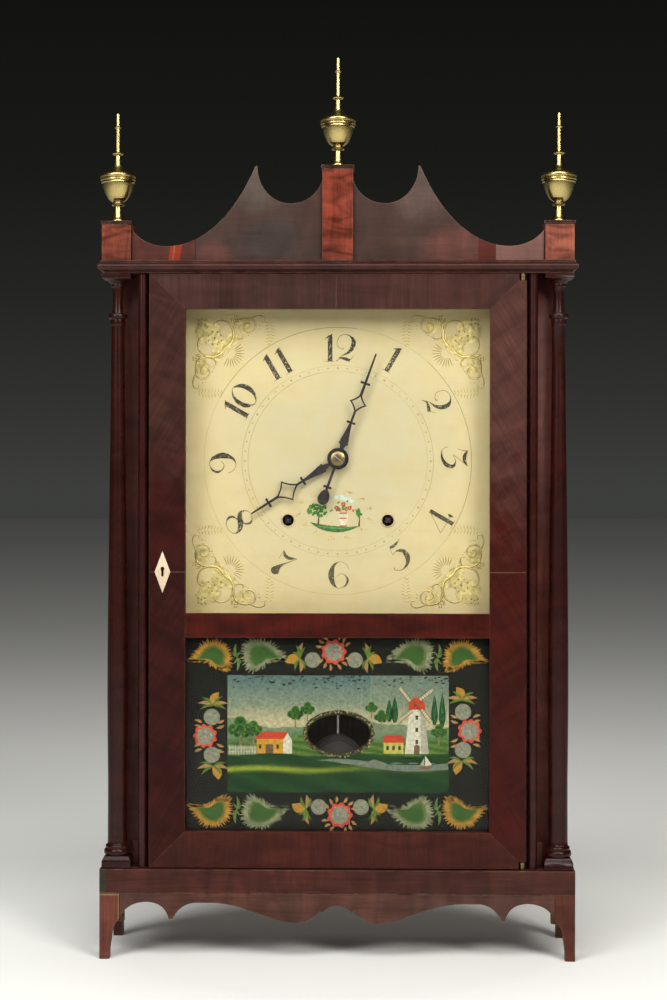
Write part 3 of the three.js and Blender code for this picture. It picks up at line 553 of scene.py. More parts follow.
class Effects:
    """The effects that several finishes share. The method of an effect's name lays out its node group."""

    sockets = {"grain": ("Vector Scale", "Streak Figure Pore"), "wear": ("Vector Reach", "Mask"),
        "age": ("Vector Scale", "Blotch Speck Cloud"), "spot": ("Vector Centre Size", "Mask")}

    @classmethod
    def tree(cls, name: str) -> Tree:
        """The node group of an effect, made when it is first wanted."""
        found = bpy.data.node_groups.get(name)
        if found is None:
            found = bpy.data.node_groups.new(name, "ShaderNodeTree")
            for way, keys in zip(("INPUT", "OUTPUT"), cls.sockets[name]):
                for key in keys.split():
                    kind = "Vector" if key in ("Vector", "Centre", "Size") else "Float"
                    found.interface.new_socket(key, in_out=way, socket_type="NodeSocket" + kind)
            sheet = Sheet(found)
            made = getattr(cls, name)(sheet, found.nodes.new("NodeGroupInput").outputs)
            for socket, value in zip(found.nodes.new("NodeGroupOutput").inputs, made):
                sheet.put(socket, value)
        return found

    @staticmethod
    def grain(sheet: Sheet, given: Sockets) -> Sequence[Socket]:
        """Wood grain along x: fine streaks, broad figure across them and open pores."""
        size = sheet.scaled(given["Vector"], given["Scale"])
        wavy = sheet.noise(sheet.stretch(size, (0.3, 0.3, 0.3)), 26, 2, 0.5)
        bent = sheet.vector("ADD", size, sheet.add("CombineXYZ", {"Z": sheet.times(wavy, 0.012)}).outputs[0])[0]
        fine = sheet.noise(sheet.stretch(bent, (0.045, 1, 1)), 520, 5, 0.62)
        broad = sheet.noise(sheet.stretch(bent, (0.12, 1, 1)), 90, 3, 0.5, 0.4)
        figure = sheet.noise(sheet.stretch(bent, (1.3, 0.45, 0.45)), 42, 3, 0.5, 1.1)
        pore = sheet.noise(sheet.stretch(bent, (0.05, 1, 1)), 1700, 2, 0.5)
        streak = sheet.span(sheet.plus(sheet.times(fine, 0.55), sheet.times(broad, 0.45)), 0.34, 0.66)
        return streak, sheet.span(figure, 0.36, 0.64), sheet.span(pore, 0.6, 0.7)

    @staticmethod
    def wear(sheet: Sheet, given: Sockets) -> Sequence[Socket]:
        """Where edges are rubbed, broken up by noise."""
        rounded = sheet.add("Bevel", {"Radius": given["Reach"]}, samples=4).outputs[0]
        near = sheet.vector("DOT_PRODUCT", rounded, sheet.add("NewGeometry").outputs["Normal"])[1]
        patch = sheet.span(sheet.noise(given["Vector"], 95, 4, 0.7), 0.38, 0.66)
        return [sheet.times(sheet.span(near, 0.995, 0.86), patch, clamp=True)]

    @staticmethod
    def age(sheet: Sheet, given: Sockets) -> Sequence[Socket]:
        """Soft blotches and small specks, as from handling, dust and flaking."""
        size = sheet.scaled(given["Vector"], given["Scale"])
        blotch = sheet.span(sheet.noise(size, 18, 5, 0.6, 0.3), 0.35, 0.65)
        speck = sheet.span(sheet.noise(size, 620, 3, 0.6), 0.66, 0.72)
        return blotch, speck, sheet.span(sheet.noise(size, 11, 2, 0.5, 0.5), 0.34, 0.66)

    @staticmethod
    def spot(sheet: Sheet, given: Sockets) -> Sequence[Socket]:
        """A soft-edged patch about a place, with a ragged outline."""
        away = sheet.vector("SUBTRACT", given["Vector"], given["Centre"])[0]
        far = sheet.vector("LENGTH", sheet.vector("DIVIDE", away, given["Size"])[0])[1]
        rag = sheet.span(sheet.noise(given["Vector"], 60, 4, 0.6), 0, 1, -0.45, 0.45)
        return [sheet.span(sheet.plus(far, rag), 1.15, 0.6)]


@dataclass(frozen=True)
class Finish:
    """What a surface is finished with. Each finish makes its material once."""

    name: str

    def material(self) -> bpy.types.Material:
        """The finish's material."""
        found = bpy.data.materials.get("finish_" + self.name)
        if found is None:
            found = bpy.data.materials.new("finish_" + self.name)
            sheet = Sheet.blank(found)
            sheet.add("OutputMaterial", {"Surface": self.surface(sheet, sheet.add("TexCoord").outputs["Object"])})
        return found

    def surface(self, sheet: Sheet, place: Socket) -> Socket:
        """Lays out the finish's nodes.

        Args:
            sheet: The material's nodes.
            place: The object coordinates.

        Returns:
            The shader's output.
        """
        raise NotImplementedError

    def on(self, piece: Piece) -> Piece:
        """Puts the finish on a piece, in place of what it had."""
        material = self.material()
        if piece.material_slots:
            for slot in piece.material_slots:
                slot.material = material
        else:
            piece.data.materials.append(material)
        return piece


@dataclass(frozen=True)
class Wood(Finish):
    """Polished or bare wood. Its grain is turned to lie along the piece."""

    tone: Colour
    dull: Colour
    turn: Triple = (0, 0, 0)
    streak: float = 0.3
    figure: float = 0.2
    cloud: float = 0.6
    scale: float = 1.0
    roughness: float = 0.36
    gloss: float = 0.11
    worn: Colour = (0.2, 0.09, 0.06)
    wear: float = 0.5
    bump: float = 0.1
    spots: tuple[tuple[Sequence[float], Sequence[float], Colour], ...] = ()
    bands: tuple[tuple[float, float, float, Colour], ...] = ()

    def surface(self, sheet: Sheet, place: Socket) -> Socket:
        """Grain, figure, pores, rubbed edges and broad clouds of old polish."""
        along = sheet.add("Mapping", {"Vector": place, "Rotation": [radians(a) for a in self.turn]}).outputs[0]
        grain = sheet.effect("grain", Vector=along, Scale=self.scale)
        age = sheet.effect("age", Vector=place, Scale=1.0)
        colour = sheet.blend(sheet.times(age["Cloud"], self.cloud), self.tone, self.dull)
        for centre, size, tint in self.spots:
            spot = sheet.effect("spot", Vector=place, Centre=Vector(centre) * MM, Size=Vector(size) * MM)[0]
            colour = sheet.blend(spot, colour, tint)
        if self.bands:
            along_x, _, height = sheet.add("SeparateXYZ", {0: place}).outputs
            for start, end, slant, tint in self.bands:
                leaning = sheet.math("SUBTRACT", along_x, sheet.times(height, slant))
                inside = sheet.times(sheet.span(leaning, start * MM - 0.0002, start * MM),
                    sheet.span(leaning, end * MM, end * MM - 0.0002))
                colour = sheet.blend(inside, colour, tint)
        shade = sheet.times(sheet.span(grain["Streak"], 0, 1, 1 - self.streak, 1 + self.streak),
            sheet.span(grain["Figure"], 0, 1, 1 - self.figure, 1 + self.figure))
        colour = sheet.scaled(colour, shade)
        colour = sheet.blend(sheet.times(grain["Pore"], 0.3), colour, tuple(c * 0.3 for c in self.tone))
        worn = sheet.effect("wear", Vector=place, Reach=0.0011)[0]
        colour = sheet.blend(sheet.times(worn, self.wear), colour, self.worn)
        rough = sheet.plus(sheet.span(age["Blotch"], 0, 1, self.roughness - 0.03, self.roughness + 0.04),
            sheet.times(grain["Pore"], 0.08))
        height = sheet.math("SUBTRACT", sheet.times(grain["Streak"], 0.4), grain["Pore"])
        return sheet.principled(colour, rough, sheet.bump(height, self.bump), Specular_IOR_Level=self.gloss)


@dataclass(frozen=True)
class Metal(Finish):
    """Cast, rolled or drawn metal with tarnish in its hollows."""

    colour: Colour
    tarnish: Colour
    metallic: float = 1.0
    roughness: float = 0.3
    amount: float = 0.5
    bump: float = 0.1
    scale: float = 1.0
    hollow: float = 0.004

    def surface(self, sheet: Sheet, place: Socket) -> Socket:
        """Blotched tarnish, darker in hollows, with fine marks."""
        age = sheet.effect("age", Vector=place, Scale=2.4 * self.scale)
        open_air = sheet.add("AmbientOcclusion", {"Distance": self.hollow}, samples=12).outputs["AO"]
        grime = sheet.span(open_air, 0.8, 0.35)
        cloud = sheet.times(age["Blotch"], self.amount)
        share = sheet.most(grime, cloud, sheet.times(age["Speck"], 0.7))
        colour = sheet.blend(share, self.colour, self.tarnish)
        fine = sheet.noise(sheet.stretch(place, (1, 1, 1)), 900 * self.scale, 3, 0.6)
        rough = sheet.plus(sheet.span(share, 0, 1, self.roughness, self.roughness + 0.25),
            sheet.times(sheet.span(fine, 0.3, 0.7, -0.4, 0.6), min(self.bump, 0.1)))
        return sheet.principled(colour, rough, sheet.bump(fine, self.bump, 0.0003), Metallic=self.metallic)


@dataclass(frozen=True)
class DialGround(Finish):
    """Old cream paint on a board, yellower towards its edges and painted lighter there against the shade of the door's
    frame, over fine level grain.
    """

    inner: Colour
    outer: Colour
    stain: Colour
    centre: Triple

    def surface(self, sheet: Sheet, place: Socket) -> Socket:
        """A cream that yellows outwards and is painted lighter there, with stains, grain lines and hair cracks."""
        age = sheet.effect("age", Vector=place, Scale=0.8)
        away = sheet.vector("SUBTRACT", place, Vector(self.centre) * MM)[0]
        far = sheet.vector("LENGTH", sheet.stretch(away, (1, 0, 1)))[1]
        cloud = sheet.plus(far, sheet.span(age["Blotch"], 0, 1, -0.022, 0.022))
        colour = sheet.blend(sheet.span(cloud, 0.05, 0.17), self.inner, self.outer)
        lines = sheet.noise(sheet.stretch(place, (0.02, 1, 1)), 460, 4, 0.6)
        stain = sheet.times(sheet.span(lines, 0.48, 0.72), 0.14)
        colour = sheet.blend(stain, colour, self.stain)
        corner = sheet.times(sheet.span(cloud, 0.13, 0.2), sheet.span(age["Blotch"], 0.2, 0.8))
        colour = sheet.blend(sheet.times(corner, 0.5), colour, self.stain)
        warm = sheet.times(sheet.span(sheet.noise(place, 42, 4, 0.6), 0.42, 0.7), 0.3)
        colour = sheet.blend(warm, colour, self.stain)
        colour = sheet.blend(sheet.times(age["Speck"], 0.5), colour, self.stain)
        rough = sheet.span(lines, 0.3, 0.7, 0.5, 0.62)
        return sheet.principled(colour, rough, sheet.bump(lines, 0.15), Specular_IOR_Level=0.25)


@dataclass(frozen=True)
class Paint(Finish):
    """Paint laid on in strokes. Its colours are the strokes' own, worn through to what lies under."""

    under: Colour
    loss: float = 0.35
    fine: float = 900.0
    mottle: float = 0.2
    roughness: float = 0.5
    metallic: float = 0.0
    gloss: float = 0.3
    firm: float = 0.57

    def surface(self, sheet: Sheet, place: Socket) -> Socket:
        """The strokes' colours with brush marks, clouding and small losses."""
        strokes = sheet.add("Attribute", attribute_name="paint").outputs["Color"]
        age = sheet.effect("age", Vector=place, Scale=1.6)
        brush = sheet.noise(place, 340, 4, 0.65)
        shade = sheet.span(brush, 0.3, 0.7, 1 - self.mottle, 1 + self.mottle)
        grey = sheet.add("CombineColor", {0: shade, 1: shade, 2: shade}).outputs[0]
        colour = sheet.blend(1.0, strokes, grey, "MULTIPLY")
        worn = sheet.span(sheet.noise(place, self.fine, 3, 0.7), self.firm, self.firm + 0.08)
        patchy = sheet.span(age["Blotch"], 0.25, 0.75, 0.35, 1.0)
        lost = sheet.times(sheet.times(worn, patchy), self.loss, clamp=True)
        colour = sheet.blend(lost, colour, self.under)
        rough = sheet.span(brush, 0.3, 0.7, self.roughness - 0.06, self.roughness + 0.08)
        return sheet.principled(colour, rough, sheet.bump(brush, 0.15), Metallic=self.metallic,
            Specular_IOR_Level=self.gloss)


@dataclass(frozen=True)
class Glass(Finish):
    """Thin old window glass. Its shadow is clear."""

    def surface(self, sheet: Sheet, place: Socket) -> Socket:
        """Clear glass with a slight wave and a little dust."""
        wave = sheet.noise(sheet.stretch(place, (1, 1, 0.4)), 9, 2, 0.4)
        dust = sheet.noise(place, 260, 4, 0.7)
        rough = sheet.span(dust, 0.45, 0.75, 0.0, 0.06)
        glass = sheet.principled((0.98, 0.985, 0.975), rough, sheet.bump(wave, 0.05, 0.001), IOR=1.12,
            Transmission_Weight=1.0)
        clear = sheet.add("BsdfTransparent", {"Color": (0.97, 0.975, 0.965)}).outputs[0]
        path = sheet.add("LightPath").outputs
        soft = sheet.most(path["Is Shadow Ray"], path["Is Diffuse Ray"])
        return sheet.add("MixShader", {0: soft, 1: glass, 2: clear}).outputs[0]


@dataclass(frozen=True)
class Bone(Finish):
    """Polished bone with fine dark canals and yellowed edges."""

    def surface(self, sheet: Sheet, place: Socket) -> Socket:
        """Cream with canals along its length."""
        canals = sheet.span(sheet.noise(sheet.stretch(place, (1, 1, 0.12)), 1500, 3, 0.6), 0.55, 0.7)
        cloud = sheet.noise(place, 90, 3, 0.5)
        colour = sheet.blend(sheet.span(cloud, 0.35, 0.65), (0.74, 0.62, 0.44), (0.62, 0.48, 0.31))
        colour = sheet.blend(sheet.times(canals, 0.5), colour, (0.22, 0.13, 0.07))
        worn = sheet.effect("wear", Vector=place, Reach=0.0008)[0]
        colour = sheet.blend(sheet.times(worn, 0.6), colour, (0.3, 0.17, 0.09))
        return sheet.principled(colour, sheet.span(cloud, 0.3, 0.7, 0.32, 0.45), sheet.bump(canals))


@dataclass(frozen=True)
class Cord(Finish):
    """Twisted hemp cord."""

    def surface(self, sheet: Sheet, place: Socket) -> Socket:
        """Pale fibres with dirt between them."""
        fibre = sheet.noise(sheet.stretch(place, (1, 1, 0.4)), 2600, 4, 0.6)
        dirt = sheet.noise(place, 70, 3, 0.5)
        colour = sheet.ramp(fibre, (0.3, (0.1, 0.07, 0.04)), (0.55, (0.34, 0.26, 0.16)), (0.8, (0.52, 0.43, 0.29)))
        colour = sheet.blend(sheet.span(dirt, 0.4, 0.7, 0, 0.5), colour, (0.13, 0.09, 0.06))
        return sheet.principled(colour, sheet.span(dirt, 0.3, 0.7, 0.8, 0.95), sheet.bump(fibre, 0.4))


@dataclass(frozen=True)
class Backdrop(Finish):
    """The studio floor. Its colour and a glow seen by the camera are painted pale about the clock and darker with the
    distance from it, a painted pool of light.
    """

    # Each ring: distance in metres, paper colour and glow strength; together a painted pool of light round the clock.
    rings: tuple[Triple, ...] = ((0.19, 0.97, 0), (0.27, 0.97, 0.085), (0.38, 0.96, 0.15), (0.575, 0.94, 0.14),
        (0.86, 0.91, 0.165), (1.6, 0.85, 0.14), (2.5, 0.75, 0.11), (3.6, 0.6, 0.085), (5.4, 0.45, 0.065),
        (8.5, 0.35, 0.048), (16, 0.25, 0.034), (40, 0.2, 0.026))

    def surface(self, sheet: Sheet, place: Socket) -> Socket:
        """Matt paper, with its colour and its painted glow laid out by the logarithm of the distance."""
        far = sheet.math("LOGARITHM", sheet.vector("LENGTH", place)[1], 10)
        first, last = log10(self.rings[0][0]), log10(self.rings[-1][0])
        along = sheet.span(far, first, last)
        paper, pale = (sheet.ramp(along, *(((log10(ring[0]) - first) / (last - first),
            (ring[part], ring[part] * 0.995, ring[part] * 0.94)) for ring in self.rings)) for part in (1, 2))
        rough = sheet.span(sheet.noise(place, 60, 2, 0.5), 0.3, 0.7, 0.85, 0.95)
        return sheet.principled(paper, rough, None, Specular_IOR_Level=0.1, Emission_Color=pale,
            Emission_Strength=sheet.seen())


UPRIGHT = (0, 90, 0)


class Finishes:
    """Every finish of the clock."""

    case = Wood("case_mahogany", (0.046, 0.0125, 0.009), (0.034, 0.013, 0.01), UPRIGHT)
    # The lighter spot high on the left stile is painted sheen on the upper door.
    stile_left = Wood("stile_left", (0.031, 0.0042, 0.0028), (0.022, 0.0054, 0.004), (0, 60, 0),
        spots=(((-155, -57, 580), (70, 40, 160), (0.04, 0.0145, 0.0105)),))
    # The lighter spot high on the right stile is painted sheen on the upper door.
    stile_right = Wood("stile_right", (0.043, 0.0046, 0.0028), (0.031, 0.0062, 0.0042), (0, -60, 0), cloud=0.8,
        spots=(((155, -57, 600), (70, 40, 210), (0.067, 0.0265, 0.0205)),))
    # The top rail's greyer colour is painted sheen on the upper door.
    top_rail = Wood("top_rail", (0.052, 0.0195, 0.0148), (0.037, 0.0195, 0.0152), UPRIGHT, figure=0.15,
        bands=((-1.6, -1, 0, (0.085, 0.045, 0.036)),))
    middle_rail = Wood("middle_rail", (0.051, 0.0056, 0.0026), (0.037, 0.0056, 0.0032), UPRIGHT, figure=0.35)
    bottom_rail = Wood("bottom_rail", (0.05, 0.0108, 0.007), (0.039, 0.0112, 0.008), UPRIGHT, figure=0.2)
    joint = Wood("joint_line", (0.15, 0.075, 0.05), (0.09, 0.04, 0.028), wear=0.2)
    # The strip is painted lighter to make up for the shade in the recess. The darker spot on the left strip is a
    # painted shadow of the pilaster and pillar.
    strip = Wood("front_strip", (0.115, 0.03, 0.0215), (0.082, 0.024, 0.0175), UPRIGHT, streak=0.25,
        spots=(((-182, -35, 350), (26, 40, 420), (0.058, 0.019, 0.014)),))
    dark = Wood("pilaster_veneer", (0.029, 0.0044, 0.003), (0.021, 0.0042, 0.003), UPRIGHT, roughness=0.27,
        gloss=0.24)
    turned = Wood("turned_mahogany", (0.024, 0.0036, 0.0022), (0.018, 0.0034, 0.0022), UPRIGHT, streak=0.25,
        roughness=0.26, gloss=0.23)
    # The cornice's light worn edges are rubbed wear and also a painted highlight along its edges.
    cornice = Wood("cornice_mahogany", (0.048, 0.0125, 0.009), (0.034, 0.0125, 0.0096), roughness=0.3, gloss=0.18,
        wear=0.9, worn=(0.26, 0.14, 0.1))
    # The crest's grey dull colour and the grey spots on its horns are painted sheen. Its light worn edges are rubbed
    # wear and also a painted highlight along the scroll's edges.
    crest = Wood("crest_veneer", (0.052, 0.027, 0.021), (0.054, 0.039, 0.031), streak=0.16, figure=0.12, wear=0.8,
        worn=(0.28, 0.18, 0.12), roughness=0.42, spots=(((-112, -47, 636), (16, 20, 12), (0.085, 0.033, 0.026)),
        ((108, -47, 640), (34, 20, 22), (0.096, 0.038, 0.029)), ((-72, -47, 700), (24, 20, 26), (0.08, 0.059, 0.046)),
        ((74, -47, 696), (26, 20, 30), (0.088, 0.056, 0.045)), ((-60, -47, 650), (26, 20, 20),
        (0.042, 0.029, 0.024))), bands=((-187, -128.6, 0, (0.078, 0.024, 0.018)),
        (-266.5, -256.5, 0.18, (0.235, 0.027, 0.011)), (-250.6, -249.6, 0.16, (0.2, 0.09, 0.055)),
        (-128.9, -128.1, 0, (0.028, 0.013, 0.01)), (126.8, 142.7, 0, (0.082, 0.018, 0.012)),
        (142.7, 187, 0, (0.16, 0.078, 0.064))))
    plinth = Wood("plinth_veneer", (0.148, 0.027, 0.0135), (0.094, 0.03, 0.018), UPRIGHT, streak=0.35, figure=0.5,
        scale=1.6, cloud=0.8, worn=(0.42, 0.22, 0.13), spots=(((200, -52, 645), (34, 30, 60), (0.205, 0.06, 0.037)),))
    cap = Wood("cap_mahogany", (0.028, 0.011, 0.0085), (0.022, 0.011, 0.009), worn=(0.3, 0.17, 0.12), wear=0.8)
    deck = Wood("deck_mahogany", (0.057, 0.016, 0.0115), (0.04, 0.0168, 0.0125), wear=0.9, worn=(0.3, 0.18, 0.12),
        bands=((-217, -207.5, 0, (0.03, 0.027, 0.018)),))
    apron = Wood("apron_mahogany", (0.078, 0.03, 0.0215), (0.058, 0.0315, 0.025), wear=0.8, worn=(0.3, 0.17, 0.11))
    foot = Wood("foot_mahogany", (0.086, 0.022, 0.0145), (0.065, 0.024, 0.0175), UPRIGHT,
        spots=(((-195, -57, 20), (40, 40, 70), (0.126, 0.04, 0.026)), ((-206, -57, 58), (16, 9, 0.6),
        (0.2, 0.125, 0.07))), bands=((-197.1, -196.3, 0, (0.17, 0.105, 0.06)),
        (194.6, 195.3, 0, (0.15, 0.085, 0.055))), wear=0.8, worn=(0.3, 0.17, 0.11))
    pine = Wood("old_pine", (0.27, 0.155, 0.078), (0.19, 0.105, 0.052), UPRIGHT, streak=0.35, scale=0.6,
        roughness=0.7, gloss=0.15, worn=(0.45, 0.32, 0.2))
    glue = Wood("glue_pine", (0.13, 0.075, 0.04), (0.07, 0.04, 0.022), UPRIGHT, roughness=0.75, gloss=0.1)
    oak = Wood("oak_plates", (0.31, 0.18, 0.085), (0.22, 0.125, 0.06), UPRIGHT, streak=0.35, roughness=0.6, gloss=0.2)
    cherry = Wood("cherry_wheels", (0.25, 0.105, 0.045), (0.18, 0.075, 0.034), roughness=0.5, gloss=0.25, scale=1.6)
    brass = Metal("old_brass", (0.52, 0.415, 0.165), (0.21, 0.155, 0.048), roughness=0.24, amount=0.28, bump=0,
        hollow=0.0012)
    dull_brass = Metal("dull_brass", (0.26, 0.19, 0.085), (0.07, 0.05, 0.025), roughness=0.3, amount=0.4)
    steel = Metal("drawn_steel", (0.34, 0.34, 0.34), (0.1, 0.075, 0.055), roughness=0.35, amount=0.5)
    blued = Metal("blued_iron", (0.02, 0.019, 0.021), (0.03, 0.018, 0.012), metallic=0.6, roughness=0.42, amount=0.5,
        hollow=0.001)
    cast = Metal("cast_iron", (0.05, 0.046, 0.043), (0.085, 0.042, 0.022), metallic=0.5, roughness=0.6, amount=0.7,
        bump=0.5, scale=0.6)
    # The bob's near-black colour is painted shade. It is darkened so that the oval reads as the shaded inside of the
    # case.
    bob = Metal("bob_lead", (0.02, 0.016, 0.013), (0.012, 0.01, 0.008), metallic=0.2, roughness=0.7, amount=0.7)
    glass = Glass("window_glass")
    bone = Bone("bone")
    collar = Wood("hole_collar", (0.6, 0.5, 0.29), (0.4, 0.31, 0.14), roughness=0.5, gloss=0.2)
    cord = Cord("cord")
    # The outer colour and the stain are painted lighter to make up for the door frame's shade on the dial's edges.
    dial = DialGround("dial_ground", (0.56, 0.488, 0.295), (0.68, 0.555, 0.285), (0.54, 0.405, 0.165),
        (0, -22, 451.4))
    ink = Paint("dial_ink", (0.5, 0.43, 0.25), loss=1.0, fine=600, mottle=0.3, firm=0.55)
    gilt = Paint("gilt", (0.62, 0.5, 0.24), loss=0.5, fine=600, mottle=0.25, roughness=0.34, metallic=0.75)
    vignette = Paint("vignette", (0.62, 0.53, 0.3), loss=0.45, fine=700, mottle=0.3)
    tablet = Paint("tablet_paint", (0.012, 0.011, 0.007), loss=0.5, fine=520, mottle=0.28, roughness=0.5, gloss=0.1)
    ground = Paint("tablet_ground", (0.018, 0.0175, 0.014), loss=0.5, fine=300, mottle=0.5, roughness=0.55, gloss=0.1)


def fit(piece: Piece, finish: Finish, body: str, slot: str, *nodes: str) -> Piece:
    """Finishes a piece and fits it to its body.

    Args:
        piece: The piece.
        finish: What it is finished with.
        body: The CAD body that it moves with.
        slot: The record's material slot. It is not used.
        nodes: The CAD nodes that it stands for.

    Returns:
        The piece.
    """
    finish.on(piece)
    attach(piece, body)
    if nodes:
        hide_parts(*nodes)
    LOG.info("fitted %s to %s", piece.name, body)
    return piece


def fit_pair(left: Piece, finish: Finish, slot: str, *nodes: str) -> None:
    """Fits a left piece of the case, and then its mirror image on the right, each for the nodes on its side."""
    right = Bench.mirrored(left, left.name.replace("left", "right"))
    fit(left, finish, "case", slot, *nodes)
    fit(right, finish, "case", slot, *(node.replace("left", "right") for node in nodes))


def keep(node: str, finish: Finish, soft: float, sharp: float = 38) -> Piece:
    """Keeps a CAD node's shape, eases its edges and gives it a finish.

    Args:
        node: The CAD node's name.
        finish: What it is finished with.
        soft: How far its edges are eased, or 0 to leave them.
        sharp: How many degrees an edge turns, at the least, to be eased.

    Returns:
        The node's object.
    """
    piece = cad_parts[node]
    finish.on(piece)
    if soft:
        weld = piece.modifiers.new("Weld", "WELD")
        weld.merge_threshold = 1e-5
        bevel = piece.modifiers.new("Eased", "BEVEL")
        bevel.width = soft * MM
        bevel.segments = 2
        bevel.limit_method = "ANGLE"
        bevel.angle_limit = radians(sharp)
    LOG.info("kept %s", node)
    return piece


class Film:
    """Flat paint on one upright plane, built up stroke by stroke and then given its thickness."""

    # The least half width of a stroke, the one below which its colour fades, and over how much less, all in mm.
    thinnest, full, fade = 0.08, 0.95, 0.6

    def __init__(self, name: str, depth: float, step: float, thick: float = 0.02) -> None:
        """Starts with nothing painted.

        Args:
            name: The piece's name.
            depth: The y of the first coat.
            step: How much further back each later coat lies. It is negative where coats go towards the front.
            thick: The paint's thickness.
        """
        self.name, self.depth, self.step, self.thick = name, depth, step, thick
        self.points: list[Vector] = []
        self.colours: list[Colour] = []
        self.faces: list[tuple[int, ...]] = []
        self.place: Place = lambda u, v: (u, v)

    def add(self, points: Sequence[Point], colours: Sequence[Colour], coat: float,
            rise: Optional[Sequence[float]] = None) -> int:
        """Adds points of paint and gives the number of the first."""
        first = len(self.points)
        for k, (u, v) in enumerate(points):
            x, z = self.place(u, v)
            self.points.append(Axis.DEPTH.point(x, z, self.depth + self.step * coat - (rise[k] if rise else 0)))
        self.colours += colours
        return first

    def ribbon(self, stroke: Stroke, colour: Colour, coat: float = 0, steps: int = 6, closed: bool = False,
            ridge: float = 0.0, faint: Optional[Colour] = None, core: Optional[Colour] = None) -> None:
        """Paints a stroke of changing width.

        Args:
            stroke: Points with half the stroke's width at each.
            colour: Its colour.
            coat: The coat that it is in.
            steps: How finely it is drawn.
            closed: Whether it comes back to its start.
            ridge: How far its middle stands up, as a share of half its width.
            faint: The colour where it is thinnest, where that differs.
            core: The colour along its middle, where the paint is rubbed thin.
        """
        path = smooth_path(stroke, steps, closed) if len(stroke) > 2 or steps > 1 else list(stroke)
        count = len(path)
        shape = ((-1, 0), (-0.6, 0.8), (0, 1), (0.6, 0.8), (1, 0)) if ridge or core else ((-1, 0), (1, 0))
        points, colours, rise = [], [], []
        for k, (u, v, half) in enumerate(path):
            before = path[(k - 1) % count] if closed or k else path[0]
            after = path[(k + 1) % count] if closed or k < count - 1 else path[-1]
            du, dv = after[0] - before[0], after[1] - before[1]
            length = hypot(du, dv) or 1.0
            half = max(half, self.thinnest)
            tint = mixed(colour, faint, (self.full - half) / self.fade) if faint else colour
            for across, up in shape:
                points.append((u - dv / length * half * across, v + du / length * half * across))
                rubbed = core and abs(across) < 0.7 and half > 1
                colours.append(mixed(tint, core, 0.5) if rubbed else tint)
                rise.append(up * ridge * half)
        first, wide = self.add(points, colours, coat, rise), len(shape)
        for k in range(count if closed else count - 1):
            a, b = first + k * wide, first + ((k + 1) % count) * wide
            self.faces += [(a + j, a + j + 1, b + j + 1, b + j) for j in range(wide - 1)]

    def area(self, outline: Sequence[Point], colour: Colour, coat: float = 0,
            hole: Optional[Sequence[Point]] = None) -> None:
        """Fills an outline, except for a hole in it."""
        loops = [[Vector((u, v, 0)) for u, v in loop] for loop in ([outline, hole] if hole else [outline])]
        points = [(p.x, p.y) for loop in loops for p in loop]
        first = self.add(points, [colour] * len(points), coat)
        self.faces += [tuple(first + i for i in face) for face in tessellate_polygon(loops)]

    def rings(self, outlines: Sequence[Sequence[Point]], colours: Sequence[Colour], coat: float = 0,
            heights: Optional[Sequence[float]] = None) -> None:
        """Fills rings of the same number of points from the inside out, and closes the innermost.

        Args:
            outlines: The rings, innermost first.
            colours: Each ring's colour.
            coat: The coat that they are in.
            heights: How far each ring stands up.
        """
        count = len(outlines[0])
        points = [p for outline in outlines for p in outline]
        tints = [colour for colour in colours for _ in range(count)]
        rise = [h for h in heights for _ in range(count)] if heights else None
        first = self.add(points, tints, coat, rise)
        self.faces.append(tuple(first + k for k in range(count)))
        for ring in range(len(outlines) - 1):
            for k in range(count):
                a, b = first + ring * count + k, first + ring * count + (k + 1) % count
                self.faces.append((a, b, b + count, a + count))

    def dot(self, centre: Point, radius: float, colour: Colour, coat: float = 0, rise: float = 0.0,
            edge: Optional[Colour] = None) -> None:
        """Paints a round dab, raised to a dome or flat."""
        steps = 10 if radius < 1.5 else 24
        outlines = [circle(centre, radius * share, steps) for share in (0.45, 0.8, 1)]
        heights = [rise, rise * 0.7, 0] if rise else None
        self.rings(outlines, [colour, colour, edge or colour], coat, heights)

    def made(self) -> Piece:
        """Makes the painted mesh, gives it its thickness and turns it outwards.

        Returns:
            The film's object.
        """
        mesh = bpy.data.meshes.new(self.name)
        mesh.from_pydata(self.points, [], self.faces)
        attribute = mesh.color_attributes.new("paint", "FLOAT_COLOR", "POINT")
        flat = [part for colour in self.colours for part in (*colour, 1.0)]
        attribute.data.foreach_set("color", flat)
        piece = bpy.data.objects.new(self.name, mesh)
        bpy.context.scene.collection.objects.link(piece)
        Bench.apply(piece, "SOLIDIFY", thickness=self.thick * MM, offset=0.0)
        bpy.ops.object.mode_set(mode="EDIT")
        Bench.outwards()
        return Bench.smooth(piece, 50)


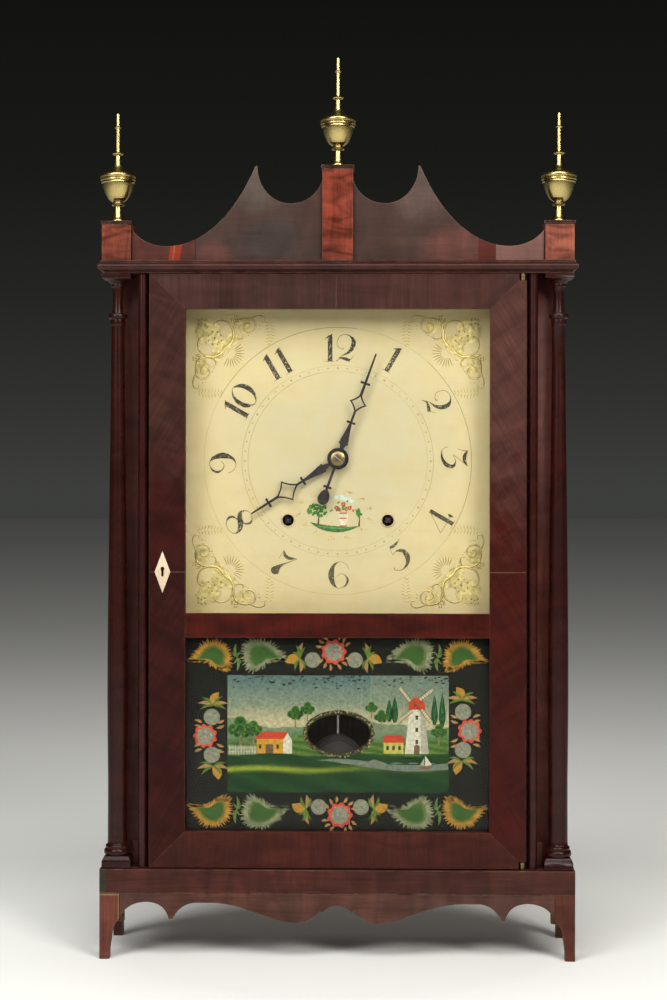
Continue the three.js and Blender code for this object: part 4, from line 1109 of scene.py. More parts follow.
@dataclass
class Studio:
    """A pale floor, soft light and the camera where the photographer stood."""

    camera: Triple = (0.0406, -2.0, 0.4226)
    yaw: float = -0.0226
    pitch: float = -0.0045
    roll: float = -0.0013
    lens: float = 77.92
    film: float = 36.0
    ambient: float = 0.12

    def build(self) -> None:
        """Sets up the camera, the lamps, the world and the floor."""
        scene = bpy.context.scene
        data = bpy.data.cameras.new("camera")
        data.sensor_fit = "VERTICAL"
        data.sensor_height = data.sensor_width = self.film
        data.lens = self.lens
        ahead = Vector((sin(self.yaw) * cos(self.pitch), cos(self.yaw) * cos(self.pitch), sin(self.pitch)))
        right = ahead.cross(Vector((0, 0, 1))).normalized()
        turn = Matrix.Rotation(self.roll, 3, ahead)
        right = turn @ right
        up = right.cross(ahead)
        camera = bpy.data.objects.new("camera", data)
        scene.collection.objects.link(camera)
        camera.matrix_world = Matrix.Translation(self.camera) @ Matrix((right, up, -ahead)).transposed().to_4x4()
        scene.camera = camera
        self.lamp("key", (1.12, -1.9, 1.42), (0.02, 0, 0.4), (0.7, 0.6), 24, (1.0, 0.97, 0.93))
        self.lamp("fill", (-1.25, -1.8, 1.38), (0, 0, 0.4), (0.9, 0.9), 21, (0.97, 0.98, 1.0))
        self.lamp("top", (0.0, -1.55, 2.15), (0, -0.2, 0.2), (1.8, 1.0), 38, (1.0, 1.0, 1.0))
        self.world()
        Bench.clear()
        bpy.ops.mesh.primitive_plane_add(size=60)
        floor = Bench.named("studio_floor")
        Backdrop("studio_floor").on(floor)
        scene.view_settings.view_transform = "Standard"

    def lamp(self, name: str, place: Sequence[float], aim: Sequence[float], size: Point, watts: float,
            colour: Colour) -> None:
        """Hangs a soft lamp.

        Args:
            name: The lamp's name.
            place: Where it hangs, in metres.
            aim: What it points at, in metres.
            size: Its width and height, in metres.
            watts: Its strength.
            colour: Its colour.
        """
        data = bpy.data.lights.new(name, "AREA")
        data.shape = "RECTANGLE"
        data.size, data.size_y = size
        data.energy = watts
        data.color = colour
        lamp = bpy.data.objects.new(name, data)
        bpy.context.scene.collection.objects.link(lamp)
        lamp.location = place
        lamp.rotation_mode = "QUATERNION"
        lamp.rotation_quaternion = (Vector(aim) - Vector(place)).to_track_quat("-Z", "Y")

    def world(self) -> None:
        """A dim room, a little lighter low down. Its light on the clock is plain and even."""
        world = bpy.data.worlds.new("studio_world")
        bpy.context.scene.world = world
        sheet = Sheet.blank(world)
        way = sheet.add("SeparateXYZ", {0: sheet.add("TexCoord").outputs["Generated"]}).outputs["Z"]
        dusk = sheet.ramp(sheet.span(way, 0.0, 0.24), (0.0, (0.047, 0.049, 0.045)), (0.18, (0.03, 0.031, 0.028)),
            (0.38, (0.0175, 0.018, 0.0155)), (0.6, (0.01, 0.01, 0.0085)), (1.0, (0.005, 0.005, 0.004)))
        light = sheet.add("Background", {"Color": (1.0, 0.99, 0.97), "Strength": self.ambient}).outputs[0]
        dark = sheet.add("Background", {"Color": dusk, "Strength": 1.0}).outputs[0]
        sheet.add("OutputWorld", {"Surface": sheet.add("MixShader", {0: sheet.seen(), 1: light, 2: dark}).outputs[0]})


@dataclass
class Base:
    """The deck, its scrolled apron and the bracket feet."""

    front: float = -57.0
    back: float = 57.0
    half: float = 214.0
    deck: Pair = (60.0, 81.0)
    apron_thick: float = 10.0
    side_thick: float = 9.0
    glue: Pair = (193.0, 31.5)

    def build(self) -> None:
        """Makes the base."""
        keep("deck_board", Finishes.deck, 0.5)
        top = self.deck[0] - GAP
        drawing = Pen((0, 49)).bend((-8, 48.6), (-13.6, 42.8)).line((-15, 44.4)).bend((-24, 33.4), (-38, 33.1))
        drawing.sweep((-60, 34), (-84, 50.8), (-112, 51), 26).line((-128, 51)).bend((-141, 50), (-148, 36.2))
        drawing.line((-151.2, 36.2)).bend((-155, 51.6), (-172, 51.6)).bend((-189, 51), (-195.7, 37.5))
        drawing.line((-195.7, top), (0, top))
        apron = Bench.sawn("apron_board", drawing.both_sides(), self.front, self.front + self.apron_thick, soft=0.45)
        fit(apron, Finishes.apron, "case", "case_veneer", "front_apron")
        for hand, node in ((-1, "base_side_left"), (1, "base_side_right")):
            self.foot(hand, node)

    def foot(self, hand: int, node: str) -> None:
        """Makes one side of the base with its feet.

        Args:
            hand: -1 for the left side and 1 for the right.
            node: The CAD node that it stands for.
        """
        side = "left" if hand < 0 else "right"
        top = self.deck[0] - GAP
        curve = Pen((-213.2, 0), (-206.4, 0)).sweep((-205, 6), (-203.6, 18), (-202.3, 26)).bend((-200.6, 31.4),
            (-196, 36.5))
        curve.line((-196, top), (-213.2, top))
        outline = curve.points if hand < 0 else flipped(curve.points)
        front = Bench.sawn(f"foot_front_{side}", outline, self.front, self.front + self.apron_thick, soft=0.4)
        fit(front, Finishes.foot, "case", "case_veneer", node)
        near, far = self.front, self.back
        bracket = Pen((near + 1, 0), (near + 11, 0)).bend((near + 12, 30), (near + 24, 42), 18)
        bracket.bend((0, 53), (far - 24, 42), 24).bend((far - 13, 30), (far - 11, 0), 18)
        bracket.line((far, 0), (far, top), (near + 1, top))
        inside = self.half - self.side_thick
        xs = sorted((hand * self.half, hand * inside))
        board = Bench.sawn(f"bracket_{side}", bracket.points, xs[0], xs[1], Axis.ACROSS, soft=0.4)
        fit(board, Finishes.apron, "case", "case_veneer")
        inner = sorted((hand * (inside - 0.2), hand * self.glue[0]))
        for name, start, end in ((f"glue_block_{side}", near + self.apron_thick + GAP, near + 19),
                (f"glue_block_back_{side}", far - 19, far - 8)):
            block = Bench.block(name, (inner[0], start, self.glue[1]), (inner[1], end, top), 0.8)
            fit(block, Finishes.glue, "case", "pine")


@dataclass
class CaseFront:
    """The veneered front strips with their half-round pilasters, the sides, the back and the cornice."""

    low: float = 81.3
    high: float = 617.9
    half: float = 198.0
    pilaster: Pair = (172.3, 180.5)
    nose_front: float = -49.0
    recess_front: float = -25.5
    lock_z: float = 348.7
    lock_hole: Triple = (-43.6, -37.4, 6.5)
    block_half: float = 13.0
    block_top: float = 102.3
    pillar_x: float = 199.7
    cornice_half: Pair = (216.0, 57.0)
    hinge: Pair = (167.0, -48.0)

    def build(self) -> None:
        """Makes the case."""
        for node in ("case_side_left", "case_side_right"):
            keep(node, Finishes.case, 0.5)
        keep("back_board", Finishes.pine, 0.5)
        inner, outer = self.pilaster
        nose = (outer - inner) / 2
        flat = [(-self.half, self.recess_front), (-outer, self.recess_front), (-outer, -34.6), (-160, -34.6),
            (-160, -13), (-self.half, -13)]
        strip = Bench.sawn("front_strip_left", flat, self.low, self.high, Axis.UP, soft=0.3)
        round_nose = Pen((-outer, -34.7)).arc((-(outer + inner) / 2, self.nose_front + nose), nose, 180, 360, 24)
        pilaster = Bench.sawn("pilaster_left", round_nose.line((-inner, -34.7)).points, self.low, self.high, Axis.UP)
        near, far, tall = self.lock_hole
        hole = Bench.block("strike_hole", (-outer + 1, near, self.lock_z - tall),
            (-inner + 1, far, self.lock_z + tall), 0.2)
        Bench.cut(pilaster, hole)
        foot = Bench.block("pilaster_foot_left", (-self.pillar_x + self.block_half + GAP, self.recess_front - 4,
            self.low), (-outer - 0.1, self.recess_front, self.block_top), 0.5)
        fit_pair(strip, Finishes.strip, "dark_veneer", "front_stile_left")
        fit_pair(pilaster, Finishes.dark, "dark_veneer")
        fit_pair(foot, Finishes.foot, "case_veneer")
        self.cornice()

    def cornice(self) -> None:
        """Makes the cornice board with its half-round nose between two fillets."""
        bottom, top, radius, steps = 618.2, 629.5, 3.6, 10
        middle = bottom + 2 + radius
        nose = Pen().arc((radius, middle), radius, 270, 90, steps).points
        levels = [(5, bottom), (5, bottom + 2), *nose, (2.2, middle + radius), (2.2, top)]
        board = Bench.moulded("cornice_board", self.cornice_half, (0, 0), levels, square_back=True)
        bore = Bench.turned("hinge_bore", [(0, 610), (1.75, 610), (1.75, 624.2), (0, 624.2)], self.hinge, steps=16)
        Bench.cut(board, bore)
        fit(board, Finishes.cornice, "case", "dark_veneer", "cornice")


@dataclass
class Crest:
    """The scroll board, three plinths and three turned brass finials."""

    low: float = 629.8
    board: Pair = (-47.0, -39.0)
    plinth: Pair = (-52.0, -26.0)
    plinth_x: float = 199.7
    side_top: float = 661.8
    centre_top: float = 712.0
    middle_top: float = 702.4
    cap: float = 3.6
    finial_y: float = -39.0
    finial: tuple[Point, ...] = ((0, 0), (7.1, 0), (7.3, 0.6), (7.2, 1.5), (6.5, 2.4), (5.7, 3.8), (4.9, 5.8),
        (4.2, 8.4), (3.7, 11), (3.4, 13.4), (3.6, 14.2), (5.3, 14.6), (5.9, 15.2), (6, 15.8), (5.6, 16.5), (4.6, 17),
        (4.5, 17.5), (5.4, 18.1), (7.2, 19.3), (8.6, 20.6), (9.2, 21.2), (9.4, 21.8), (9.7, 22), (11.2, 24.8),
        (12.7, 28.5), (13.8, 32.3), (14.2, 34.6), (14.9, 34.9), (15.4, 35.5), (15.3, 36.3), (14.9, 36.8),
        (15.5, 37.1), (16, 37.7), (15.9, 38.4), (15.3, 39), (15.2, 39.5), (15.9, 39.9), (16.3, 40.8), (16.4, 41.8),
        (16, 42.9), (15.2, 43.7), (13.2, 44.2), (10.4, 44.7), (8.4, 46), (6.7, 47.6), (5.4, 49.4), (4.4, 51.6),
        (3.5, 54.4), (3, 57.2), (2.8, 60), (3.4, 60.5), (4.8, 61.1), (5.2, 61.8), (4.8, 62.5), (3.4, 63.1),
        (2.6, 63.6), (2.25, 64.4), (2.2, 75), (2.2, 84.4), (2.6, 84.9), (3.1, 85.5), (3.1, 86), (2.6, 86.6),
        (2.1, 87), (1.95, 92), (1.9, 97.4), (1.6, 98), (1.1, 98.2), (0, 98.2))

    def build(self) -> None:
        """Makes the crest."""
        drawing = Pen((0, self.low), (-186, self.low), (-186, 657.8)).sweep((-178, 647.5), (-167, 643), (-154, 643), 18)
        drawing.sweep((-133.5, 643), (-99.4, 657), (-75, 714.4), 40).line((-74.2, 715.4), (-72.6, 715.6))
        drawing.sweep((-72.6, 697), (-60, 681.6), (-42.7, 681.6), 26).sweep((-29, 681.6), (-18, 690),
            (-14.2, self.middle_top), 16)
        drawing.line((0, self.middle_top))
        board = Bench.sawn("crest_board", drawing.both_sides(), *self.board, soft=0.7)
        fit(board, Finishes.crest, "case", "crest_veneer", "scroll_board")
        places = (("centre", 0.0, 13.8, self.centre_top), ("left", -self.plinth_x, 13.1, self.side_top),
            ("right", self.plinth_x, 13.1, self.side_top))
        pattern = Bench.turned("finial_pattern", self.finial, (0, self.finial_y), steps=72)
        for name, x, half, top in places:
            self.one_plinth(name, x, half, top)
            way = Matrix.Translation(Axis.UP.point(x, 0, top + self.cap + GAP))
            finial = Bench.copied(pattern, f"brass_finial_{name}", way)
            fit(finial, Finishes.brass, "case", "old_brass", f"finial_{name}")
        bpy.data.objects.remove(pattern)

    def one_plinth(self, name: str, x: float, half: float, top: float) -> None:
        """Makes a plinth with its cap.

        Args:
            name: Which plinth it is.
            x: Its middle.
            half: Half its width.
            top: The height of its veneered block.
        """
        near, far = self.plinth
        block = Bench.block(f"plinth_block_{name}", (x - half, near, self.low), (x + half, far, top), 0.35)
        if name == "centre":
            slot = Bench.block("crest_slot", (-half - 2, self.board[0] - GAP, self.low - 2),
                (half + 2, self.board[1] + GAP, self.middle_top + GAP), 0.05)
            Bench.cut(block, slot)
        fit(block, Finishes.plinth, "case", "plinth_veneer", f"plinth_{name}")
        levels = [(1, top + 0.02), (1, top + 0.4), (0.5, top + 0.6), (0, top + 1), (0, top + self.cap - 0.5),
            (0.5, top + self.cap)]
        cap = Bench.moulded(f"plinth_cap_{name}", (half + 1, (far - near) / 2 + 1), (x, (near + far) / 2), levels)
        fit(cap, Finishes.cap, "case", "dark_veneer")


@dataclass
class Pillars:
    """The two free turned pillars with their foot blocks and top plates."""

    x: float = 199.7
    y: float = -39.0
    half: float = 13.0
    bottom: float = 81.3
    top: float = 617.9
    shaft: tuple[Point, ...] = ((0, 90.6), (9.6, 90.6), (10.8, 91.2), (11.8, 92.4), (12.2, 94), (12.1, 95.6),
        (11.5, 97.2), (10.7, 97.8), (10.2, 98.1), (10.2, 98.5), (10.7, 98.9), (10.8, 99.6), (10.6, 100.4),
        (10.1, 101.1), (9.4, 101.6), (9, 102.2), (8.9, 105.4), (8.75, 130), (8.7, 160), (9.05, 196), (9.3, 235),
        (9.2, 270), (9, 300), (8.5, 345), (7.9, 395), (7.3, 440), (6.7, 485), (6.2, 530), (5.9, 571), (6.2, 571.6),
        (6.7, 572.4), (6.9, 574.8), (6.7, 577.2), (7.2, 577.8), (8.4, 578.2), (8.9, 579.2), (8.9, 580.6), (8.4, 582),
        (7, 582.8), (5.2, 583.2), (4.8, 587), (4.5, 595), (4.7, 601), (5.1, 605.6), (5.7, 606.4), (6.2, 607),
        (6.3, 608), (6.2, 609), (6.6, 609.5), (7.4, 610), (8.6, 611.6), (10, 612.8), (11.6, 613.5), (0, 613.5))

    def build(self) -> None:
        """Makes both pillars."""
        shaft = Bench.turned("pillar_shaft_left", self.shaft, (-self.x, self.y))
        foot = Bench.moulded("pillar_foot_left", (self.half, self.half), (-self.x, self.y),
            [(0, self.bottom), (0, 87), (0.5, 88.4), (1.3, 89.8), (2, 91.5)], soft=0.3)
        plate = Bench.moulded("pillar_plate_left", (self.half, self.half), (-self.x, self.y),
            [(0.6, 613.5), (0, 614), (0, self.top)], soft=0.25)
        fit_pair(shaft, Finishes.turned, "turned_wood", "pillar_left")
        for left in (foot, plate):
            fit_pair(left, Finishes.turned, "turned_wood")


@dataclass
class Door:
    """The door: its frame, the mitred veneer on it, two panes, the escutcheon, the lock and the hinges."""

    half: float = 170.0
    inner: float = 137.2
    bottom: float = 81.9
    top: float = 617.6
    upper_pane: Pair = (311.4, 586.1)
    lower_pane: Pair = (114.6, 289.6)
    front: float = -51.0
    leaf: float = 0.3
    lock: Pair = (-157.7, 348.7)
    hinge: Pair = (167.0, -48.0)
    hinge_room: Pair = (88.6, 611.1)

    def build(self) -> None:
        """Makes the door."""
        for name in ("stile_left", "stile_right", "top_rail", "middle_rail", "bottom_rail"):
            keep("door_" + name, getattr(Finishes, name), 0.3)
        self.veneer()
        for node in ("dial_glass", "tablet_glass"):
            keep(node, Finishes.glass, 0.15)
        keep("escutcheon", Finishes.bone, 0.12)
        keep("lock_bolt", Finishes.steel, 0.3)
        self.hinges()

    def veneer(self) -> None:
        """Lays the mitred leaves of veneer on the door's face."""
        notch = self.hinge[0] - 3.6
        low, high, joint = self.lower_pane[0], self.upper_pane[1], self.lock[1]
        near, far, hair, crack = self.hinge_room[0], self.hinge_room[1], 0.07, 0.25
        upper_left = [(-self.half, self.top - hair * 2), (-self.inner - hair, high - hair),
            (-self.inner, joint + crack), (-self.half, joint + crack)]
        lower_left = [(-self.half, joint - crack), (-self.inner, joint - crack), (-self.inner - hair, low + hair),
            (-self.half, self.bottom + hair * 2)]
        upper_right = [(self.inner, joint + crack), (self.inner + hair, high - hair), (notch, far), (self.half, far),
            (self.half, joint + crack)]
        lower_right = [(self.inner, joint - crack), (self.half, joint - crack), (self.half, near), (notch, near),
            (self.inner + hair, low + hair)]
        top = [(-self.half + hair, self.top), (notch, self.top), (notch, far + GAP), (self.inner, high + hair),
            (-self.inner, high + hair)]
        bottom = [(-self.half + hair, self.bottom), (-self.inner, low - hair), (self.inner, low - hair),
            (notch, near - 0.4), (notch, self.bottom)]
        middle = box(-self.inner + 0.1, self.lower_pane[1], self.inner - 0.1, self.upper_pane[0])
        leaves = (("upper_left", upper_left, Finishes.stile_left), ("lower_left", lower_left, Finishes.stile_left),
            ("upper_right", upper_right, Finishes.stile_right), ("lower_right", lower_right, Finishes.stile_right),
            ("top", top, Finishes.top_rail), ("bottom", bottom, Finishes.bottom_rail),
            ("middle", middle, Finishes.middle_rail), ("joint_left", box(-self.half, joint - 0.2, -self.inner,
            joint + 0.2), Finishes.joint), ("joint_right", box(self.inner, joint - 0.2, self.half, joint + 0.2),
            Finishes.joint))
        for name, outline, finish in leaves:
            piece = Bench.sawn(f"veneer_{name}", outline, self.front - self.leaf, self.front, soft=0.08)
            if name in ("upper_left", "lower_left", "joint_left"):
                key = Bench.turned("keyhole", [(0, -56), (1.8, -56), (1.8, -46), (0, -46)], self.lock, Axis.DEPTH, 24)
                Bench.cut(piece, key)
            fit(piece, finish, "door", "door_veneer")

    def hinges(self) -> None:
        """Turns the two pin hinges."""
        def knuckle(name: str, low: float, high: float, pin_low: float, pin_high: float, node: str) -> None:
            """One hinge: a ringed knuckle on its pin."""
            middle = (low + high) / 2
            profile = [(0, pin_low), (1.3, pin_low), (1.6, pin_low + 0.4), (1.6, low), (2.5, low), (2.8, low + 0.3),
                (2.8, middle - 0.3), (2.5, middle), (2.8, middle + 0.3), (2.8, high - 0.3), (2.5, high), (1.6, high),
                (1.6, pin_high - 0.4), (1.3, pin_high), (0, pin_high)]
            piece = Bench.turned(name, profile, self.hinge, steps=24)
            fit(piece, Finishes.dull_brass, "case", "old_brass", node)

        knuckle("hinge_pin_upper", 611.7, 617.9, 606.4, 623.2, "hinge_upper")
        knuckle("hinge_pin_lower", 81.3, 87.8, 76, 93.1, "hinge_lower")


NUMERALS: dict[str, tuple[Stroke, ...]] = {
    "1": (((0, -12.4, 2.2), (0, 10.7, 2.2)), ((-0.3, 10, 2.1), (2, 13, 0.25)),
          ((-5, 8.8, 0.2), (-2.2, 10.2, 0.7), (0.8, 11.7, 0.9), (2.2, 13, 0.3)), ((-5, -12.5, 0.2), (4, -12.5, 0.2))),
    "2": (((-1.8, 0, 0.6), (-4.1, -1.1, 0.3), (-7.8, 1.6, 0.25), (-8.5, 5.3, 0.25), (-6, 10.8, 0.3), (-0.5, 12.6, 0.3),
           (4.6, 10.3, 0.8), (7, 5.7, 2), (5.4, -0.2, 2), (1.4, -4.6, 1.1), (-4.6, -7.6, 0.3), (-9.2, -12.4, 0.25)),
          ((-9.2, -12.4, 0.3), (-5.3, -9.4, 0.7), (-0.9, -10.1, 1.4), (3.4, -11.8, 1.5)),
          ((3.6, -11.2, 0.3), (7.3, -7.1, 0.2))),
    "3": (((-8.4, 2.8, 0.2), (-6.6, 7.6, 0.3), (-6.2, 12.3, 0.5)),
          ((-6.2, 12.3, 0.4), (-2.3, 9.7, 1.6), (2.8, 9.3, 1.5), (8, 11.9, 0.3)),
          ((8, 11.9, 0.3), (2.8, 5.9, 0.3), (-2.8, -1.5, 0.25)),
          ((-2.8, -1.5, 0.2), (3.7, 0.9, 0.5), (8.3, -1.9, 1.6), (6.2, -8.2, 1.8), (-0.5, -11.8, 1),
           (-7.5, -11.4, 0.3), (-10, -6.2, 0.25))),
    "4": (((3.4, 12.4, 1.9), (3.4, -12.4, 1.9)), ((2.8, 12.2, 0.3), (-9.6, -6.6, 0.3)),
          ((-9.6, -6.6, 0.25), (9.4, -6.6, 0.3)), ((9.4, -3.2, 0.2), (8.8, -6.4, 1.2), (9.4, -9.6, 0.2)),
          ((-1.8, -12.4, 0.25), (7.4, -12.4, 0.25))),
    "5": (((-4.4, 10.6, 1.1), (0, 10.6, 1.4), (4.6, 12, 0.7), (7.6, 14, 0.2)), ((-4.6, 10.6, 0.3), (-5.4, 3.4, 0.3)),
          ((-5.4, 3.4, 0.3), (-0.6, 5, 0.7), (4.6, 2, 1.9), (5.8, -4.6, 2.3), (1.8, -10.6, 1.3), (-5, -12.6, 0.5),
           (-10.4, -9.6, 0.4), (-9.8, -7.4, 0.5))),
    "6": (((9.4, 5.2, 0.3), (7.4, 9.6, 0.3), (1.6, 12.3, 0.3), (-4.2, 9, 1.2), (-6.8, 0.6, 2.7), (-5.2, -7.4, 1.9),
           (-1.6, -11.8, 0.5), (1.6, -12.4, 0.3), (6.6, -9.8, 0.8), (8.6, -4.6, 1), (5.8, 0, 0.5), (1.6, 1, 0.3),
           (-1.4, -1.8, 0.3)),),
    "7": (((-6.4, 1.8, 0.25), (-6.2, 9.4, 0.4)),
          ((-6, 10.2, 0.5), (-3, 6.8, 1.4), (1.4, 6.2, 1.5), (5.6, 8, 0.8), (8.6, 9.4, 0.3)),
          ((8.4, 9, 0.3), (3.4, 3, 0.5), (-0.8, -2, 0.9), (-3, -6.4, 2.4), (-3.8, -9.6, 4), (-4, -11.8, 3.6),
           (-3.9, -13.8, 1.2))),
    "8": (((-5.4, 11, 0.5), (-7, 6.6, 1.2), (-4.6, 3.2, 2.2), (0.4, 1, 2.6), (5.2, -2, 2.2), (7.8, -6.2, 1),
           (6.4, -10.4, 0.4), (1, -12.6, 0.3), (-4.8, -11.2, 0.4), (-8, -6.6, 1), (-6.4, -2.4, 0.9), (-0.4, 0.8, 0.4),
           (4.8, 4.6, 0.8), (6, 8.4, 1), (3.6, 11.8, 0.5), (-1.4, 12.9, 0.3)),),
    "0": (((8, 0, 2.3), (6.4, 7.4, 1.8), (0.6, 12.6, 0.35), (-5.8, 7.8, 1.1), (-8, 0, 2), (-6.4, -7.4, 1.8),
           (-0.6, -12.6, 0.35), (5.8, -7.8, 1.2)),),
}
LOOPED = {"8", "0"}


@dataclass
class Dial:
    """The painted dial board: its numerals, rings, gilt corners, vignette and winding holes."""

    centre: Point = (0.0, 451.4)
    half: float = 155.0
    low: float = 291.4
    high: float = 613.4
    face: Pair = (-22.0, -16.0)
    hole: float = 6.2
    winding_hole: float = 5.3
    winding: tuple[Point, ...] = ((-45.6, -56.3), (45.6, -56.3))
    numeral_radius: float = 101.8
    opening: Triple = (137.2, 311.4, 586.1)
    nudges: tuple[Point, ...] = ((-0.8, 2.4), (3.3, 0.9), (4.6, 1.2), (4.7, -5.5), (5.5, -0.1), (0.5, -4.4),
        (1.8, -7.3), (-2.2, -6.8), (-3.6, -3.8), (-0.5, 2.1), (-4.2, -1.4), (2, -0.6))
    worn_centre: Point = (-0.4, -2.1)
    dots: Pair = (0.95, 0.75)
    dot_ring: float = 85.0
    ink: Colour = (0.013, 0.011, 0.007)

    def build(self) -> None:
        """Makes the dial."""
        board = Bench.sawn("dial_panel", box(-self.half, self.low, self.half, self.high), *self.face, soft=0.5)
        tools = [self.drill((0, 0), self.hole)] + [self.drill(at, self.winding_hole) for at in self.winding]
        Bench.cut(board, *tools)
        fit(board, Finishes.dial, "case", "dial_paint", "dial_board")
        for name, (u, v) in zip(("left", "right"), self.winding):
            ring = [(5.2, -21.9), (5.2, -22.6), (5.5, -22.9), (6, -22.9), (6.4, -22.5), (6.5, -21.9)]
            collar = Bench.turned(f"winding_collar_{name}", ring, (self.centre[0] + u, self.centre[1] + v),
                Axis.DEPTH, 40)
            fit(collar, Finishes.collar, "case", "bone")
        self.numerals()
        self.gilding()
        self.vignette()

    def drill(self, at: Point, radius: float) -> Piece:
        """A round tool that cuts a hole through the board."""
        profile = [(0, -40), (radius, -40), (radius, 0), (0, 0)]
        return Bench.turned("drill", profile, (self.centre[0] + at[0], self.centre[1] + at[1]), Axis.DEPTH, 48)

    def about(self, angle: float, radius: float, spin: float, shift: float = 0.0, size: float = 1.0,
            nudge: Point = (0, 0)) -> Place:
        """Where a drawing lies that stands on the dial at a clock angle.

        Args:
            angle: Degrees clockwise from twelve.
            radius: How far out it stands.
            spin: Degrees that it is turned clockwise.
            shift: How far the drawing is moved along its own u first.
            size: Its size.
            nudge: How far the painter's hand strayed, across and up.

        Returns:
            A function from the drawing to x and z.
        """
        lean = radians(spin)
        at = [a + b for a, b in zip(around(self.centre, radius, radians(90 - angle)), nudge)]

        def place(u: float, v: float) -> Point:
            """Turns the drawing and sets it down."""
            u, v = (u + shift) * size, v * size
            return at[0] + u * cos(lean) + v * sin(lean), at[1] - u * sin(lean) + v * cos(lean)

        return place

    def numerals(self) -> None:
        """Paints the hours, the rings and the minute dots."""
        film = Film("dial_numerals", self.face[0] - 0.04, -0.04)
        shifts = {10: (-9.4, 5.4), 11: (-6.5, 6.5), 12: (-9.6, 5.4)}
        for hour, nudge in enumerate(self.nudges, 1):
            angle = hour * 30
            spin = angle + (180 if 4 <= hour <= 8 else 0)
            low = max(0.0, -cos(radians(angle)))
            ink = mixed(self.ink, (0.05, 0.045, 0.022), low)
            faint, core = (tuple(a + b * low for a, b in rows) for rows in (((0.17, 0.16), (0.135, 0.13),
                (0.055, 0.05)), ((0.055, 0.06), (0.045, 0.05), (0.022, 0.025))))
            for k, digit in enumerate(str(hour)):
                shift = shifts[hour][k] if hour in shifts else 0
                drawn, extra = ("6", 180) if digit == "9" else (digit, 0)
                film.place = self.about(angle, self.numeral_radius, spin + extra, -shift if extra else shift, 0.98,
                    nudge)
                for coat, stroke in enumerate(NUMERALS[drawn]):
                    film.ribbon(stroke, ink, coat, 7 if len(stroke) > 2 else 1, drawn in LOOPED, 0, faint, core)
        film.place = self.about(0, 0, 0, nudge=self.worn_centre)
        dark, pale, warm = (0.15, 0.115, 0.05), (0.46, 0.37, 0.18), (0.34, 0.25, 0.1)
        for radius, start, end, tint in ((122.2, -62, 8, dark), (122.2, 8, 42, pale), (122.2, 42, 125, dark),
                (122.2, 125, 298, pale), (87.5, -140, -40, warm), (87.5, -40, 60, pale), (87.5, 60, 128, warm),
                (87.5, 128, 220, pale), (82, -126, -10, warm), (82, -10, 234, pale)):
            arc = [(*around((0, 0), radius, radians(90 - a)), 0.2) for a in range(start, end + 1, 2)]
            film.ribbon(arc, tint, 0, 1)
        for minute in range(60):
            radius = self.dots[1] if minute % 5 else self.dots[0]
            film.dot(around((0, 0), self.dot_ring, radians(90 - 6 * minute)), radius, (0.36, 0.28, 0.11))
        fit(film.made(), Finishes.ink, "case", "dial_paint")

    def corners(self) -> list[Place]:
        """The four corners of the opening, each as a function from inward distances to x and z."""
        half, low, high = self.opening
        made = []
        for side in (-1, 1):
            for edge, way in ((low, 1), (high, -1)):
                made.append(lambda u, v, s=side, e=edge, w=way: (s * (half - u), e + w * v))
        return made

    def gilding(self) -> None:
        """Lays the raised gilt scrolls in the four corners, with painted highlights on them."""
        film = Film("dial_gilding", self.face[0] - 0.05, -0.05)
        # bright is the colour of the painted highlights on the gilt dots.
        gold, pale, deep, bright = (0.34, 0.24, 0.065), (0.5, 0.38, 0.12), (0.3, 0.215, 0.06), (0.86, 0.72, 0.3)
        loop = ((33, 33, 0.6), (32, 37, 0.9), (26, 40.6, 1), (18.3, 41, 0.9), (12, 38, 0.8), (9.4, 34, 0.7),
            (8.6, 30.4, 0.7), (9.4, 27, 0.7), (11.4, 24.2, 0.6), (14.4, 23.3, 0.5))
        stem = ((33, 33, 0.7), (29, 38.6, 0.9), (23, 42, 1), (17.6, 41.6, 0.9), (12.5, 42.5, 0.9), (8.6, 45.4, 0.9),
            (7, 50, 0.9), (6.8, 54, 0.8), (7.4, 57.6, 0.8), (9.6, 60.6, 0.8), (14.5, 61.6, 0.8), (18.4, 59.4, 0.8),
            (19.8, 55.4, 0.7), (18, 51.6, 0.7), (14, 50.4, 0.6), (11.2, 53.4, 0.6), (12.2, 56.6, 0.5),
            (14.4, 56.6, 0.5))
        tail = ((7, 57, 0.6), (5, 61.6, 0.7), (4.2, 66, 0.6), (6, 70, 0.5), (9.6, 70.2, 0.4), (9.8, 67, 0.4))
        leaf = ((12.5, 42.5, 0.3), (9.4, 40.4, 1.1), (6.4, 40.2, 0.2))
        curl = ((23, 42, 0.5), (25.6, 46, 0.7), (24.6, 50.4, 0.6), (21.4, 50.2, 0.4))
        rays = [[(*around((38, 38), reach, radians(-38 + 13.8 * k)), half) for reach,
            half in ((5, 0.16), (9, 0.42), (13.6, 0.12))] for k in range(12)]
        dots = [(*around((24.6, 24.6), 6.2, radians(22 + 45 * k)), 0.62) for k in range(8)]
        dots += [(24.6, 24.6, 0.8)] + [(9.4 + 3.1 * (k % 3), 8.2 + 4 * (k // 3) - 1.2 * (k % 3 == 1), 0.6)
            for k in range(6)]
        beads = [(4.6 + 2.5 * k, 44.6 - 2.2 * j + 0.5 * k, 0.62) for k in range(3) for j in range(2)]
        beads += [(22, 55, 0.5), (23.4, 52.6, 0.4), (13.2, 65.4, 0.5), (16.2, 65.2, 0.4)]
        trunk = ((33, 33), (31.6, 38.2), (26, 41.8), (18.4, 42.2), (12.5, 44.4), (12.5, 41), (18.3, 40.4), (25.6, 40),
            (31, 37))
        fern = []
        for k in range(8):
            at = (74 + 1.1 * sin(k / 2.4), 9 + 2.9 * k)
            for wide in (-2.2 - 2.6 * sin(0.5 + k / 2.7), 2.2 + 2.6 * sin(0.5 + k / 2.7)):
                fern.append(((*at, 0.12), (at[0] + wide / 2, at[1] + 1.3, 0.42), (at[0] + wide, at[1] + 1.6, 0.1)))
        for corner in self.corners():
            film.place = corner
